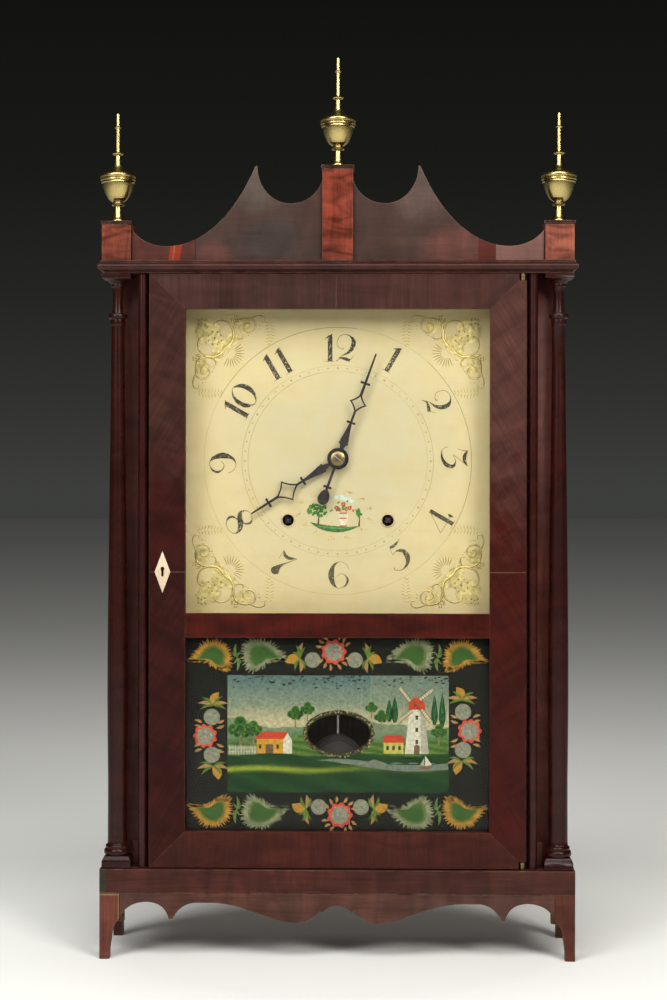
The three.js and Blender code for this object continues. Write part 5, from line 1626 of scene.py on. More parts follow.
            # The pale yellow patches under the scrolls are painted highlight on the raised gilding.
            for k, (u, v, radius) in enumerate(((18, 18, 12), (31, 31, 9), (13, 51, 7), (51, 13, 7), (26, 40, 6),
                    (40, 26, 6))):
                film.dot((u, v), radius, (0.74, 0.61, 0.25), 0.1 * k - 0.8, edge=(0.64, 0.525, 0.27))
            for stroke in rays:
                film.ribbon(stroke, deep, 0, 3, ridge=0.3)
            for u, v, radius in dots:
                film.dot((u, v), radius + 0.3, deep, 1, edge=pale)
                # The light dot set up and to the right on each gilt dot is a painted highlight.
                film.dot((u + 0.35, v + 0.35), radius * 0.6, bright, 2, rise=radius * 0.6)
            for swap in (False, True):
                film.place = (lambda u, v, c=corner: c(v, u)) if swap else corner
                film.area(trunk, (0.6, 0.47, 0.17), 0)
                for coat, stroke in enumerate((loop, stem, tail, leaf, curl)):
                    film.ribbon(stroke, gold, coat + 1, 6)
                    # The narrower light stroke set up and to the right on each scroll is a painted highlight.
                    film.ribbon([(u + 0.18, v + 0.1, half * 0.55) for u, v, half in stroke], (0.68, 0.54, 0.21),
                        coat + 1.5, 6, ridge=0.6)
                for stroke in fern:
                    film.ribbon(stroke, (0.44, 0.35, 0.13), 0, 2, ridge=0.3)
                for u, v, radius in beads:
                    film.dot((u, v), radius, deep, 6, rise=radius * 0.6)
        fit(film.made(), Finishes.gilt, "case", "dial_paint")

    def vignette(self) -> None:
        """Paints a vase of flowers between two trees on a green mound, with gilt sprigs about them."""
        film = Film("dial_vignette", self.face[0] - 0.04, -0.04)
        film.place = self.about(0, 0, 0)
        rng = Rng(11)
        for k in range(13):
            angle = tau * (k + 0.5) / 13
            u, v = -2.5 + 33 * cos(angle), -51 + 22 * sin(angle)
            for _ in range(6):
                at = (u + rng.uniform(-3.4, 3.4), v + rng.uniform(-2.4, 2.4))
                film.dot(at, rng.uniform(0.4, 0.8), rng.choice(((0.55, 0.4, 0.1), (0.34, 0.23, 0.06))), 0)
                film.ribbon(((u, v, 0.15), (*at, 0.4)), (0.66, 0.52, 0.2), 1, 1)
        mound = Pen((-25.7, -57.8)).bend((-14, -60.8), (-3, -61.4)).bend((10, -63.2), (20.3, -61))
        mound.bend((10, -67.4), (-2, -67.2)).bend((-17, -66.6), (-25.7, -57.8))
        film.area(mound.points[:-1], (0.03, 0.12, 0.028), 1)
        film.ribbon(((-20, -61.4, 0.3), (-2, -63.4, 0.9), (17, -62.6, 0.3)), (0.09, 0.22, 0.05), 2)
        film.ribbon(((-9, -35.8, 0.4), (2, -35.2, 1.9), (9, -37.2, 2.2), (18, -41.4, 0.6)), (0.48, 0.56, 0.45), 1)
        vase = Pen((2.4, -61.6), (7.4, -61.6), (6.4, -59.6)).bend((11.2, -54.6), (8.2, -49.6)).line((1.6, -49.6))
        vase.bend((-1.4, -54.6), (3.4, -59.6))
        film.area(vase.points[:-1], (0.7, 0.6, 0.42), 3)
        for low, half in ((-49.8, 0.6), (-54.4, 0.5), (-61.4, 0.5)):
            film.ribbon(((1 + half, low, half), (8.8 - half, low, half)), (0.4, 0.05, 0.03), 4, 1)
        for k in range(34):
            angle, reach = radians(rng.uniform(5, 175)), rng.uniform(2, 10.5)
            at = (4.9 + 1.15 * reach * cos(angle), -49 + reach * sin(angle))
            tip = (at[0] + rng.uniform(-2, 2), at[1] + rng.uniform(0.4, 2.2))
            middle = ((at[0] + tip[0]) / 2, (at[1] + tip[1]) / 2, 0.9)
            film.ribbon(((*at, 0.3), middle, (*tip, 0.15)), (0.04, rng.uniform(0.1, 0.2), 0.03), 3 + k % 3, 3)
        for u, v, radius in ((-1.4, 4, 1.7), (4.8, 7.4, 2), (10.6, 4, 1.7), (2, 2, 1.3), (7.6, 2.4, 1.3),
                (14, 1.6, 1.1)):
            film.dot((u, v - 49), radius, (0.48, 0.05, 0.03), 7, edge=(0.3, 0.03, 0.02))
            film.dot((u, v - 49), radius * 0.35, (0.7, 0.46, 0.12), 8)
        for foot, tall, wide, high in (((-18, -60), 13, 9.4, 6), ((19.2, -62), 11.4, 2.7, 4.6)):
            film.ribbon(((*foot, 0.9), (foot[0] + 0.6, foot[1] + tall - 3, 0.4)), (0.1, 0.06, 0.035), 3, 1)
            for k in range(int(7 * wide)):
                angle, reach = rng.uniform(0, tau), sqrt(rng.uniform(0, 1))
                at = (foot[0] + wide * reach * cos(angle), foot[1] + tall + high * reach * sin(angle))
                film.dot(at, rng.uniform(0.8, 1.5), (0.04, rng.uniform(0.08, 0.2), 0.02), 4 + k * 0.05)
        fit(film.made(), Finishes.vignette, "case", "dial_paint")


@dataclass
class Hands:
    """The two blued hands, their collar and the pin that holds them."""

    centre: Point = (0.0, 451.4)
    minute_turn: float = 20.0
    hour_turn: float = 237.5
    leaf: tuple[Point, ...] = ((0.9, 30), (2.3, 31), (4.2, 33.6), (5.2, 36.8), (5.3, 39.6), (4.4, 42.2), (2.6, 43.9),
        (0.9, 44.5))

    def build(self) -> None:
        """Makes the hands."""
        minute = self.hand("minute_hand_blade", (-30.6, -29.4), 8.4, 101.4, 72.8, (53.6, 6.4, 6.0), 34.8, 37.2)
        Bench.turn(minute, self.minute_turn, self.centre)
        fit(minute, Finishes.blued, "minute_hand", "blued_iron", "minute_hand")
        hour = self.hand("hour_hand_blade", (-27.2, -26.0), 9.8, 93.6, 75, (54.8, 9.2, 8.4), 37.8, 0)
        Bench.turn(hour, self.hour_turn, self.centre)
        fit(hour, Finishes.blued, "hour_hand", "blued_iron", "hour_hand")
        pipe = [(0, -30.4), (2.9, -30.4), (2.9, -1.2), (0, -1.2)]
        fit(Bench.turned("cannon_pipe", pipe, self.centre, Axis.DEPTH, 32), Finishes.cherry, "minute_hand", "cherry")
        collar = [(1.7, -30.6), (6.0, -30.6), (6.4, -30.9), (6.4, -31.1), (5.2, -31.5), (3.4, -31.9), (1.7, -31.9)]
        disc = Bench.turned("hand_collar", collar, self.centre, Axis.DEPTH, 48)
        fit(disc, Finishes.dull_brass, "minute_hand", "old_brass")
        pin = Bench.turned("taper_pin", [(0, -4.6), (0.75, -4.6), (0.5, 4.8), (0, 4.8)], (-32.15, self.centre[1]),
            Axis.ACROSS, 12)
        Bench.turn(pin, 35, self.centre)
        fit(pin, Finishes.steel, "centre_arbor", "steel")

    def hand(self, name: str, depth: Point, hub: float, tip: float, cross: float, lozenge: Triple, low: float,
            tail: float) -> Piece:
        """Saws one hand, pointing to twelve.

        Args:
            name: The hand's name.
            depth: The y of its front and back.
            hub: The radius of its round middle.
            tip: How far its point reaches.
            cross: How far out its upper crossbar is.
            lozenge: Where its open diamond is, and half its height and width.
            low: How far out its lower crossbar is.
            tail: How far its tail's disc is from the middle, or 0 for none.

        Returns:
            The hand.
        """
        cu, cv = self.centre
        mid, tall, wide = lozenge

        def moved(outline: Sequence[Point]) -> list[Point]:
            """An outline about the dial's centre."""
            return [(cu + u, cv + v) for u, v in outline]

        def part(outline: Sequence[Point]) -> Piece:
            """Saws one part of the hand."""
            return Bench.sawn("part", moved(outline), *depth)

        def diamond(grow: float, hollow: float) -> list[Point]:
            """A diamond with hollow sides."""
            corners = [(0, mid - tall - grow * 1.5), (wide + grow, mid), (0, mid + tall + grow * 1.5),
                (-wide - grow, mid)]
            pen = Pen(corners[0])
            for k in range(4):
                start, end = corners[k], corners[(k + 1) % 4]
                control = ((start[0] + end[0]) / 2 * (1 - hollow), mid + ((start[1] + end[1]) / 2 - mid) * (1 - hollow))
                pen.bend(control, end, 8)
            return pen.points[:-1]

        def bar(v: float, half: float) -> list[Point]:
            """A crossbar that swells to its ends."""
            return [(-half, v - 0.7), (-half + 1.2, v - 1.2), (0, v - 0.7), (half - 1.2, v - 1.2), (half, v - 0.7),
                (half, v + 0.7), (half - 1.2, v + 1.2), (0, v + 0.7), (-half + 1.2, v + 1.2), (-half, v + 0.7)]

        body = part(circle((0, 0), hub, 48))
        blade = Pen((1.0, hub - 2)).bend((2.2, hub + 3), (4.0, hub + 9), 8).bend((2.6, hub + 14), (1.1, low), 10)
        blade.line((1.0, mid - tall - 1), (-1.0, mid - tall - 1), (-1.1, low)).bend((-2.6, hub + 14), (-4.0, hub + 9),
            10)
        blade.bend((-2.2, hub + 3), (-1.0, hub - 2), 8)
        needle = [(-1.3, mid + tall), (1.3, mid + tall), (1.1, cross + 3), (0.75, tip), (-0.75, tip), (-1.1, cross + 3)]
        eye = Bench.sawn("eye", moved(diamond(0, 0.2)), depth[0] - 1, depth[1] + 1)
        frame_ring = Bench.cut(part(diamond(2.2, 0.28)), eye)
        extra = [part(blade.points), part(needle), frame_ring, part(bar(cross, 4.6)), part(bar(low, 4.2)),
            part(bar(hub + 6.4, 4.4))]
        if tail:
            extra += [part([(-1.2, -hub + 2), (-1.2, -tail), (1.2, -tail), (1.2, -hub + 2)]),
                part([(side * u, -v) for side, row in ((1, self.leaf), (-1, self.leaf[::-1])) for u, v in row]),
                part(bar(-27.6, 4))]
        Bench.cut(body, *extra, keep="UNION")
        bore = Bench.turned("bore", [(0, -40), (1.65 if tail else 4.05, -40), (1.65 if tail else 4.05, -10),
            (0, -10)], self.centre, Axis.DEPTH, 32)
        Bench.cut(body, bore)
        body.name = body.data.name = name
        return Bench.eased(body, 0.14, 1)


RED, WHITE, SHADE, GLOOM = (0.46, 0.05, 0.02), (0.52, 0.5, 0.37), (0.34, 0.33, 0.24), (0.05, 0.04, 0.03)

SCENERY: tuple[tuple[Colour, float, tuple[float, ...]], ...] = (
    ((0.13, 0.16, 0.12), 6.5, (-18, 178, -4, 179.2, 8, 179.2, 21, 178, 34, 176, 48, 174.4, 62, 173.8, 80, 174, 100.4,
        175.4, 100.4, 170, 83, 168.4, 66, 168, 50, 168.8, 36, 170.4, 22, 172.6, 8, 174.9, -6, 177)),
    ((0.17, 0.16, 0.12), 5, (22, 172, 27.6, 176.8, 33.6, 178.9, 40, 177, 46, 171.4, 42.4, 171, 38, 174.6, 33.6, 175.6,
                             29, 174.6, 25.6, 171.6)),
    ((0.2, 0.08, 0.035), 5, (74, 172.4, 86, 172.8, 83.6, 170.4, 76.4, 170.2)),
    (WHITE, 5, (79.6, 173.2, 79.6, 182.6, 85.6, 174.2)), (SHADE, 5, (78.8, 173.2, 78.8, 180.6, 75.2, 174.2)),
    (WHITE, 6, (61, 184, 83, 184, 78.6, 224, 65.4, 224)), (SHADE, 5.6, (76, 184, 83, 184, 78.6, 224, 75, 224)),
    (RED, 5.4, (64.2, 224, 65, 230, 68, 234, 72, 235, 76, 234, 79, 230, 79.8, 224)),
    ((0.15, 0.09, 0.045), 4.8, (69.4, 184, 74.6, 184, 74.6, 191, 72, 192.6, 69.4, 191)),
    ((0.42, 0.38, 0.08), 6.4, (42, 184, 60, 184, 60, 194, 42, 194)),
    (RED, 6.2, (40.6, 194, 61.4, 194, 58.6, 201, 43.4, 201)),
    ((0.46, 0.24, 0.025), 6, (-73, 184, -49, 184, -49, 197, -73, 197)),
    (WHITE, 6, (-49, 184, -41, 184, -41, 196, -45, 202.4, -49, 197)),
    (RED, 5.6, (-74.4, 197, -48.4, 197, -44.6, 203.4, -71.6, 203.4)),
    ((0.11, 0.07, 0.04), 5, (-65, 184, -58, 184, -58, 192.4, -65, 192.4)),
    *((GLOOM, 5, (x - 1.2, z, x + 1.2, z, x + 1.2, z + 3.8, x - 1.2, z + 3.8)) for x, z in (
        (72, 193), (72, 204), (72, 215), (45.6, 187.4), (51, 187.4), (56.4, 187.4), (-70, 188.4), (-54, 188.4))))


@dataclass
class Tablet:
    """The lower pane's picture, painted on the back of the glass: a black ground, a border and a landscape."""

    opening: tuple[float, float, float, float] = (-137.2, 137.2, 114.6, 289.6)
    picture: tuple[float, float, float, float] = (-99.6, 100.9, 148.9, 254.8)
    oval: tuple[float, float, float, float] = (1.4, 202.2, 28.5, 17.1)
    back: float = -40.66
    step: float = 0.035
    level: float = 202.2
    orange: Colour = (0.36, 0.19, 0.03)
    peach: Colour = (0.32, 0.18, 0.065)
    leaf: Colour = (0.09, 0.15, 0.02)
    black: Colour = (0.008, 0.0078, 0.0055)
    corner_leaves: tuple[tuple[tuple[Point, ...], Colour], ...] = ((((-133.5, 267.6), (-128, 275.6), (-121, 282.6),
        (-113, 285), (-105, 283), (-99.5, 277.6), (-98.2, 270), (-98.6, 262), (-103, 259.6), (-110, 262.4),
        (-117, 267.6), (-125, 268)), (0.38, 0.2, 0.032)), (((-84.6, 274), (-83.6, 281), (-78, 285.4), (-70, 286),
        (-62, 283.6), (-55, 278.6), (-49.4, 273), (-46.6, 268), (-55, 268.4), (-63, 267.6), (-70, 262.4),
        (-78, 259.6), (-83, 265)), (0.22, 0.23, 0.12)))

    def build(self) -> None:
        """Paints the tablet."""
        for name, paint, finish in (("ground", self.ground, Finishes.ground),
                ("border", self.border, Finishes.tablet), ("landscape", self.landscape, Finishes.tablet)):
            film = Film(f"tablet_{name}", self.back, self.step)
            paint(film, Rng(5))
            fit(film.made(), finish, "door", "painted_glass")

    def rim(self, angle: float, grow: float = 0.0) -> Point:
        """A place on the oval's edge, or so far outside it."""
        u, v, wide, tall = self.oval
        return u + (wide + grow) * cos(angle), v + (tall + grow) * sin(angle)

    def ground(self, film: Film, _: Rng) -> None:
        """Lays the black coat behind everything, with the oval left clear."""
        left, right, low, high = self.opening
        edge = 3.2
        film.area(box(left - edge, low - edge, right + edge, high + edge), self.black, 13,
            hole=[self.rim(tau * k / 72) for k in range(72)])

    @staticmethod
    def blade(film: Film, start: Point, end: Point, half: float, colour: Colour, coat: float, bow: float) -> None:
        """Paints a pointed leaf from start to end, bowed to one side."""
        du, dv = end[0] - start[0], end[1] - start[1]
        mid = ((start[0] + end[0]) / 2 - dv * bow, (start[1] + end[1]) / 2 + du * bow)
        film.ribbon(((*start, half * 0.25), (*mid, half), (*end, 0.1)), colour, coat, 6)

    def feather(self, film: Film, spine: Sequence[Point], rim: Colour, rng: Rng) -> None:
        """Paints a leaf with a feathered rim round a green middle.

        Args:
            film: The film to paint on.
            spine: The leaf's outline without its feathers.
            rim: The rim's colour.
            rng: The source of small differences.
        """
        outer = smooth_path(spine, 5, True)
        heart = tuple(sum(p[axis] for p in outer) / len(outer) for axis in (0, 1))
        tuft, inner, half = ([mixed(heart, p, share) for p in outer] for share in (0.2, 0.56, 0.78))
        green = (0.036, 0.09, 0.018)
        film.rings([tuft, inner, half, outer], [green, green, mixed(rim, green, 0.4), rim], 5)
        for (u, v), root in zip(outer, half):
            du, dv = u - root[0], v - root[1]
            reach = rng.uniform(2.2, 4.2) / (hypot(du, dv) or 1)
            lean = rng.uniform(-0.3, 0.5)
            tip = (u + (du - dv * lean) * reach, v + (dv + du * lean) * reach)
            film.ribbon(((*root, 0.75), (*mixed(root, tip, 0.6), 0.62), (*tip, 0.1)), toned(rim, rng), 4.5, 2)

    @staticmethod
    def rosette(film: Film, centre: Point, radius: float, rng: Rng) -> None:
        """Paints a silver flower with a scalloped red edge."""
        red, silver = (0.5, 0.065, 0.035), (0.21, 0.215, 0.155)
        rings = [[around(centre, radius * share * (1 + 0.09 * cos(9 * a)), a) for a in turns(64)]
            for share in (0.3, 0.7, 0.8, 1)]
        film.rings(rings, [silver, silver, red, red], 3)
        for _ in range(30):
            tone = rng.choice(((0.32, 0.32, 0.24), (0.42, 0.16, 0.1), (0.16, 0.19, 0.13)))
            film.dot(around(centre, radius * rng.uniform(0.05, 0.66), rng.uniform(0, tau)), rng.uniform(0.35, 0.8),
                tone, 2)

    @staticmethod
    def ball(film: Film, centre: Point, radius: float, rng: Rng) -> None:
        """Paints a round grey fruit."""
        film.dot(centre, radius, (0.215, 0.215, 0.15), 4, edge=(0.15, 0.15, 0.1))
        for _ in range(14):
            film.dot(around(centre, radius * rng.uniform(0, 0.8), rng.uniform(0, tau)), rng.uniform(0.3, 0.7),
                toned((0.15, 0.155, 0.1), rng), 3.4)

    def spray(self, film: Film, heart: Point, main: Triple, rest: Sequence[Sequence[float]]) -> None:
        """Paints a bud with leaves about it.

        Args:
            film: The film to paint on.
            heart: Where they spring from.
            main: How far the bud's tip is, across and up, and its half width.
            rest: The same for each leaf. The wide ones are peach.
        """
        for coat, (du, dv, half) in enumerate((main, *rest)):
            tone = self.orange if coat == 0 else self.peach if half > 1.6 else self.leaf
            self.blade(film, heart, (heart[0] + du, heart[1] + dv), half, tone, 3 - 0.05 * coat, 0.11 * side_of(du))

    def border(self, film: Film, rng: Rng) -> None:
        """Paints the leaves in the corners and the flowers between them."""
        level = self.level
        for side, way in ((-1, -1), (-1, 1), (1, -1), (1, 1)):
            film.place = lambda u, v, s=side, w=way: (-s * u, level + w * (v - level) - (0.8 if w < 0 else 0))
            for outline, tone in self.corner_leaves:
                self.feather(film, outline, tone, rng)
            for du, dv, half in ((-0.8, 13, 1.3), (-0.2, -12.6, 1.3), (-4, 5, 0.8), (3.4, 5, 0.8), (-3.6, -6, 0.7),
                    (3.6, -5.6, 0.7)):
                self.blade(film, (-91, 271), (-91 + du, 271 + dv), half, (0.1, 0.16, 0.04), 3, 0.12)
        for way, shift in ((1, -3.2), (-1, 2.4)):
            film.place = lambda u, v, w=way, d=shift: (u + d, level + w * v)
            self.rosette(film, (0, 74), 10.8, rng)
            for side in (-1, 1):
                self.ball(film, (side * 19.2, 66.6), 7.2, rng)
                self.spray(film, (side * 30.6, 68), (side * 13, -4, 4.6), [(side * du, dv, half) for du, dv,
                    half in ((-2.6, 14.6, 2), (3.8, 12.4, 1.5), (-5, 10.4, 1.2), (-0.2, -12.8, 2), (-4.4, -10, 1.2),
                    (4.8, -11, 1.4), (7, 6, 1.2))])
                for angle in (24, 44, 64, -30, -52, -74):
                    a = radians(angle if side > 0 else 180 - angle)
                    self.blade(film, around((0, 74), 11.8, a), around((0, 74), 17.6, a + 0.1), 1.3, self.peach, 2.4,
                        0.1)
        for side, lift in ((-1, 0), (1, 5.4)):
            film.place = lambda u, v, s=side, d=lift: (s * (120 + u), level + v + d)
            self.rosette(film, (-0.2, -2.6), 10.2, rng)
            for way in (1, -1):
                self.ball(film, (-6.2, -2.6 + way * 17.2), 7.5, rng)
                self.spray(film, (-7.4, -2.6 + way * 27.6), (-5, way * 12.2, 4.2),
                    [(du, way * dv, half) for du, dv, half in ((14.4, 2.2, 1.7), (-13.2, 2, 1.7), (11.8, -3.4, 1.2),
                    (-11.6, -3.4, 1.2), (10.6, 7.6, 1.3), (-8.4, 8.4, 1.2))])
                for u, k in ((9.6, 0.6), (9.6, 1), (-17.6, 0.6), (-17.6, 1)):
                    start = (-4 + (u + 4) * 0.5, -2.6 + way * 12 * k)
                    self.blade(film, start, (u, start[1] + way * 2.6), 1.3, self.peach, 2.4, 0.08)

    def country(self, x: float, z: float) -> Colour:
        """The colour of the sky, the hills or the meadow at a place in the picture."""
        hill = 211 + 4.2 * sin(x / 19 + 0.6) + 1.8 * sin(x / 8.3)
        near = 197 + 2.6 * sin(x / 24 + 2.2) + 0.9 * sin(x / 7)
        if z > hill:
            sky = mixed((0.42, 0.36, 0.21), (0.19, 0.23, 0.15), (z - 212) / 16)
            return mixed(sky, (0.085, 0.14, 0.125) if x < 30 else (0.13, 0.17, 0.13), (z - 228) / 22)
        if z > near:
            return mixed((0.07, 0.14, 0.05), (0.15, 0.2, 0.11), (z - near) / 9)
        wave = 0.5 + 0.5 * sin(x / 5 + z)
        if z > 183 + 1.6 * sin(x / 13):
            return mixed((0.03, 0.09, 0.015), (0.1, 0.16, 0.03), wave)
        lane = 169.6 + 1.1 * sin(x / 15)
        field = mixed((0.005, 0.024, 0.007), (0.014, 0.052, 0.012), 0.35 + 0.3 * wave + 0.35 * sin(x / 9 + z / 3))
        return mixed(field, (0.23, 0.29, 0.03), exp(-((z - lane) / 2.3) ** 2) * min(max((60 - x) / 120, 0.1), 1))

    def landscape(self, film: Film, rng: Rng) -> None:
        """Paints a windmill, a barn, a river with a bridge, trees and meadows round the oval."""
        left, right, low, high = self.picture
        across, up = 174, 92
        u0, v0, wide, tall = self.oval
        grid: dict[tuple[int, int], int] = {}

        def corner(i: int, j: int) -> int:
            """The number of a grid point, made when first needed."""
            if (i, j) not in grid:
                x, z = left + (right - left) * i / across, low + (high - low) * j / up
                grid[i, j] = film.add([(x, z)], [self.country(x, z)], 11)
            return grid[i, j]

        for i, j in itertools.product(range(across), range(up)):
            x, z = left + (right - left) * (i + 0.5) / across, low + (high - low) * (j + 0.5) / up
            if hypot((x - u0) / (wide + 1.4), (z - v0) / (tall + 1.4)) > 1:
                film.faces.append((corner(i, j), corner(i + 1, j), corner(i + 1, j + 1), corner(i, j + 1)))
        for colour, coat, outline in SCENERY:
            film.area(list(zip(outline[::2], outline[1::2])), colour, coat)
        self.sails_and_fence(film)
        for x, z, size in ((-88, 197, 1.25), (-76, 199, 0.9), (-38, 214, 0.8), (-27, 219, 0.72), (40, 212, 0.72),
                (31, 221, 0.62), (92, 198, 0.8)):
            self.tree(film, x, z, size, rng)
        for x, z, size in ((47, 213, 20), (52, 212, 24), (88, 210, 27), (95, 208, 31)):
            self.poplar(film, x, z, size, rng)
        for k in range(34):
            at = (18 + k * 2.45, 155.7 + 2.1 * sin(k * 0.9) + rng.uniform(-1.4, 1.4))
            film.dot(at, rng.uniform(1.8, 2.7), (0.006, 0.026, 0.012), 4 + 0.3 * (k % 3), edge=(0.03, 0.1, 0.015))
        for _ in range(60):
            x, z = rng.uniform(left + 3, right - 3), rng.uniform(151, 167)
            film.ribbon(((x, z, 0.3), (x + rng.uniform(-0.6, 0.6), z + rng.uniform(1.4, 3), 0.1)), (0.035, 0.1, 0.02),
                6, 1)
        self.wreath(film, rng)
        for _ in range(80):
            x, z = rng.uniform(left, right), high - abs(rng.gauss(0, 6))
            long, drop = rng.uniform(0.4, 1.8), rng.uniform(-0.5, 0.5)
            film.ribbon(((x, z, 0.3), (x + long, z + drop, 0.6), (x + 2 * long, z + 0.4, 0.1)), self.black, -0.4, 2)

    @staticmethod
    def sails_and_fence(film: Film) -> None:
        """Paints the windmill's sails, the barn's fence and the light on the river."""
        wood, hub = (0.08, 0.05, 0.025), (71, 228)
        for quarter in range(4):
            a = radians(38 + 90 * quarter)
            over = (-3.3 * sin(a), 3.3 * cos(a))
            near, tip = around(hub, 6, a), around(hub, 21, a)
            edge = [tuple(p + q for p, q in zip(at, over)) for at in (near, tip)]
            film.area([near, tip, edge[1], edge[0]], (0.52, 0.45, 0.27), 3.6)
            for start, end in ((hub, tip), edge, *((around(hub, 6 + 2.3 * k, a),) * 2 for k in range(7))):
                end = end if start != end else tuple(p + q for p, q in zip(start, over))
                film.ribbon(((*start, 0.3), (*end, 0.22)), wood, 3, 1)
        film.dot(hub, 1.1, wood, 2.4)
        for k in range(18):
            film.ribbon(((-98 + k * 1.42, 183, 0.34), (-98 + k * 1.42, 191.4 - 0.6 * (k % 2), 0.3)),
                (0.5, 0.47, 0.33), 4, 1)
        for v in (185.6, 189):
            film.ribbon(((-98.6, v, 0.3), (-73.4, v, 0.3)), (0.42, 0.4, 0.28), 4.4, 1)
        for u in range(4, 90, 15):
            film.ribbon(((u, 175.2, 0.15), (u + 5, 175.6, 0.3), (u + 10, 175.4, 0.1)), (0.24, 0.27, 0.2), 6, 3)

    @staticmethod
    def tree(film: Film, x: float, z: float, size: float, rng: Rng) -> None:
        """Paints a round-headed tree: bright leaves at its edge and dark ones in its middle."""
        for lean, top, half in ((0, 8, 1), (-4, 6, 0.4), (4, 6, 0.4)):
            film.ribbon(((x, z - 8 * size if half > 0.5 else z, half * size),
                (x + lean * size, z + top * size, 0.2 * size)), (0.2, 0.14, 0.08), 4.6, 1)
        heads = ((0, 12, 4.6), (-5.4, 7, 4), (5.4, 7.4, 4), (-2.2, 3.6, 2.8), (3.4, 3.4, 2.8), (0, 7.4, 3.6))
        for k, (u, v, radius) in enumerate(heads):
            film.dot((x + u * size, z + v * size), radius * size, (0.022, 0.085, 0.014), 4.4 - 0.1 * k,
                edge=(0.12, 0.22, 0.025))
        for _ in range(34):
            u, v, radius = rng.choice(heads)
            at = around((x + u * size, z + v * size), size * radius * rng.uniform(0, 0.9), rng.uniform(0, tau))
            tone = rng.choice(((0.008, 0.036, 0.018), (0.012, 0.05, 0.02), (0.1, 0.2, 0.02)))
            film.dot(at, rng.uniform(0.5, 1.1) * size, tone, 3.2)

    @staticmethod
    def poplar(film: Film, x: float, z: float, tall: float, rng: Rng) -> None:
        """Paints a tall narrow tree."""
        film.ribbon(((x, z, 1.0), (x, z + tall * 0.3, 3.2), (x, z + tall * 0.75, 1.7), (x, z + tall, 0.15)),
            (0.012, 0.06, 0.02), 7, 6)
        for _ in range(16):
            v = tall * rng.uniform(0.05, 0.85)
            u = x + rng.uniform(-1.6, 1.6) * (1 - v / tall)
            film.ribbon(((u, z + v, 0.3), (u + 0.3, z + v + tall * 0.09, 0.1)), (0.06, 0.15, 0.025), 6.6, 1)

    def wreath(self, film: Film, rng: Rng) -> None:
        """Paints the gold wreath round the oval."""
        film.ribbon([(*self.rim(a, 1.9), 2.1) for a in turns(72)], (0.024, 0.019, 0.009), 2, 1, True)
        for k in range(150):
            a = tau * (k + rng.random()) / 150
            at = self.rim(a, rng.uniform(0.4, 3.4))
            lean, long = a + rng.choice((0.6, -0.6)) + rng.uniform(-0.3, 0.3), rng.uniform(1.2, 2.4)
            tone = rng.choice(((0.32, 0.26, 0.1), (0.2, 0.17, 0.06), (0.38, 0.33, 0.16), (0.13, 0.14, 0.05)))
            film.ribbon(((*at, 0.15), (*around(at, long / 2, lean), 0.42), (*around(at, long, lean), 0.1)), tone,
                0.6 + 0.3 * (k % 3), 2)


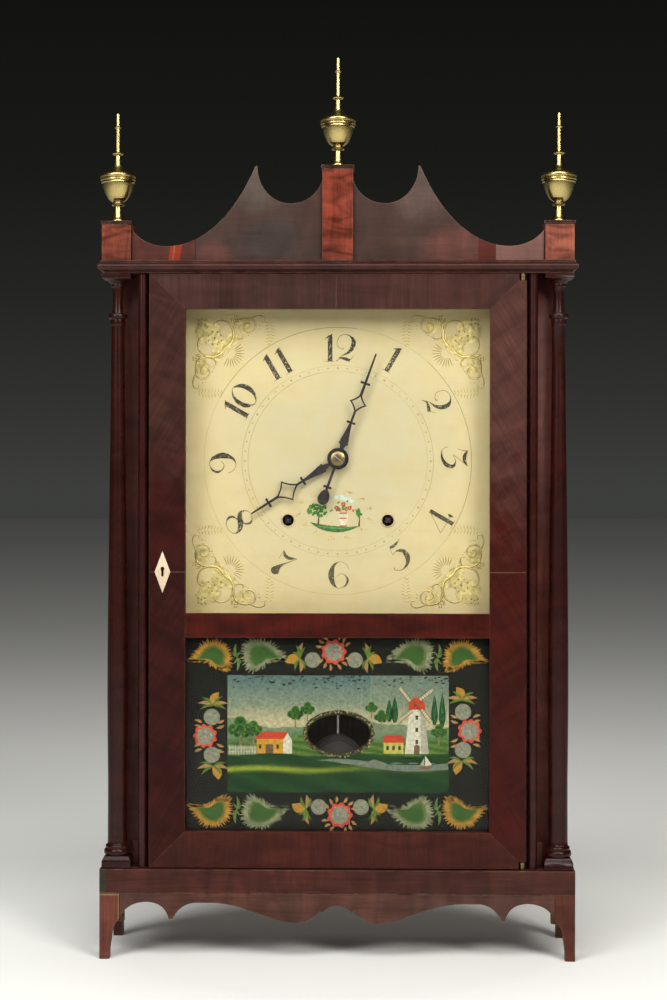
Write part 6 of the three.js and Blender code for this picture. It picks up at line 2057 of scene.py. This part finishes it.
@dataclass
class Works:
    """The wooden movement, the pendulum, the weights and their cords."""

    weight_x: float = 149.9
    cord_y: float = 16.0
    fall: Pair = (214.3, 589.7)
    strand: float = 0.46
    bob: Point = (0.0, 175.4)
    arbor: Point = (45.6, 395.1)
    square: float = 2.6

    def build(self) -> None:
        """Finishes the movement and makes what hangs below it."""
        wheels = ("hour_wheel minute_wheel centre_arbor second_arbor third_arbor time_great_wheel "
            "strike_great_wheel strike_second_arbor fly time_drum strike_drum")
        for nodes, finish, soft in (("front_plate back_plate", Finishes.oak, 0.4), (wheels, Finishes.cherry, 0),
                ("escape_wheel time_pulley strike_pulley", Finishes.brass, 0), ("verge pendulum_rod", Finishes.steel,
                0.15), ("bell hammer", Finishes.cast, 0), ("time_cord strike_cord", Finishes.cord, 0)):
            for node in nodes.split():
                keep(node, finish, soft)
        self.pendulum_bob()
        for name, hand in (("time", 1), ("strike", -1)):
            self.winding_square(name, hand)
            self.weight(name, hand)
            self.cord_fall(name, hand)

    def pendulum_bob(self) -> None:
        """Turns the lens-shaped bob with its rim and ring."""
        profile = [(0, -18.4), (3, -18.35), (8, -18.1), (13, -17.5), (17, -16.6), (17.4, -16.8), (18.2, -16.8),
            (18.6, -16.3), (21.4, -15.2), (22.4, -15.4), (23.6, -14.8), (24, -13.6), (24, -11.6), (23.6, -10.4),
            (22, -9.2), (14, -6.9), (0, -6.8)]
        bob = Bench.turned("bob_lens", profile, self.bob, Axis.DEPTH, 64)
        slot = Bench.block("rod_slot", (-1.2, -13.7, self.bob[1] + 17.7), (1.2, -11.5, self.bob[1] + 26), 0.05)
        Bench.cut(bob, slot)
        fit(bob, Finishes.bob, "pendulum", "bob_lead", "pendulum_bob")

    def winding_square(self, name: str, hand: int) -> None:
        """Forges the square end that a key winds, on one drum."""
        x, z, half = hand * self.arbor[0], self.arbor[1], self.square
        square = Bench.block(f"{name}_winding_square", (x - half, -20.2, z - half), (x + half, -9, z + half), 0.5)
        fit(square, Finishes.blued, f"{name}_drum", "steel")

    def weight(self, name: str, hand: int) -> None:
        """Casts one weight with its hook.

        Args:
            name: The train that it drives.
            hand: 1 for the right and -1 for the left.
        """
        x = hand * self.weight_x
        profile = [(0, 81.9), (17.6, 81.9), (19.2, 82.5), (20, 84), (20, 105), (19.7, 105.6), (20, 106.2), (20, 196.4),
                   (19.4, 198.2), (17.6, 199.8), (14, 201.2), (8, 202), (3.4, 202), (3.2, 204.4), (2, 205), (0, 205)]
        body = Bench.turned(f"{name}_weight_body", profile, (x, self.cord_y), steps=40)
        fit(body, Finishes.cast, f"{name}_weight", "cast_iron", f"{name}_weight")
        ring = [around((3.6, self.cord_y), 1, a) for a in turns(10)]
        hook = Bench.turned(f"{name}_weight_hook", ring, (x, 208.6), Axis.DEPTH, 28)
        fit(hook, Finishes.steel, f"{name}_weight", "steel")

    def cord_fall(self, name: str, hand: int) -> None:
        """Twists the cord from which one weight hangs.

        Args:
            name: The train that it drives.
            hand: 1 for the right and -1 for the left.
        """
        low, high = self.fall
        x, reach, pitch, sides, per_turn = hand * self.weight_x, 0.44, 7.0, 7, 8
        steps = int((high - low) / pitch * per_turn)
        Bench.clear()
        bpy.ops.mesh.primitive_circle_add(vertices=3 * sides, radius=1, fill_type="NOTHING")
        piece = Bench.named(f"{name}_cord_strands")
        points, faces = [], []
        for strand in range(3):
            start = len(points)
            for k in range(steps + 1):
                turn = tau * (strand / 3 + k / per_turn)
                middle, z = around((x, self.cord_y), reach, turn), low + (high - low) * k / steps
                points += [Axis.UP.point(*around(middle, self.strand, turn + a), z) for a in turns(sides)]
            for k in range(steps):
                for j in range(sides):
                    a, b = start + k * sides + j, start + k * sides + (j + 1) % sides
                    faces.append((a, b, b + sides, a + sides))
            faces.append(tuple(start + j for j in reversed(range(sides))))
            faces.append(tuple(start + steps * sides + j for j in range(sides)))
        piece.data.clear_geometry()
        piece.data.from_pydata(points, [], faces)
        Bench.smooth(piece, 60)
        fit(piece, Finishes.cord, "case", "cord", f"{name}_cord_fall")
        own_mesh(piece)


def main() -> None:
    """Builds the studio and the clock, one sub-assembly after the other."""
    logging.basicConfig(level=logging.INFO, format="%(name)s: %(message)s", force=True)
    Bench.clear()
    for part in (Studio(), Works(), Base(), CaseFront(), Crest(), Pillars(), Door(), Tablet(), Dial(), Hands()):
        part.build()
        LOG.info("built the %s", type(part).__name__)
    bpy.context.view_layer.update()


if __name__ == "__main__":
    main()
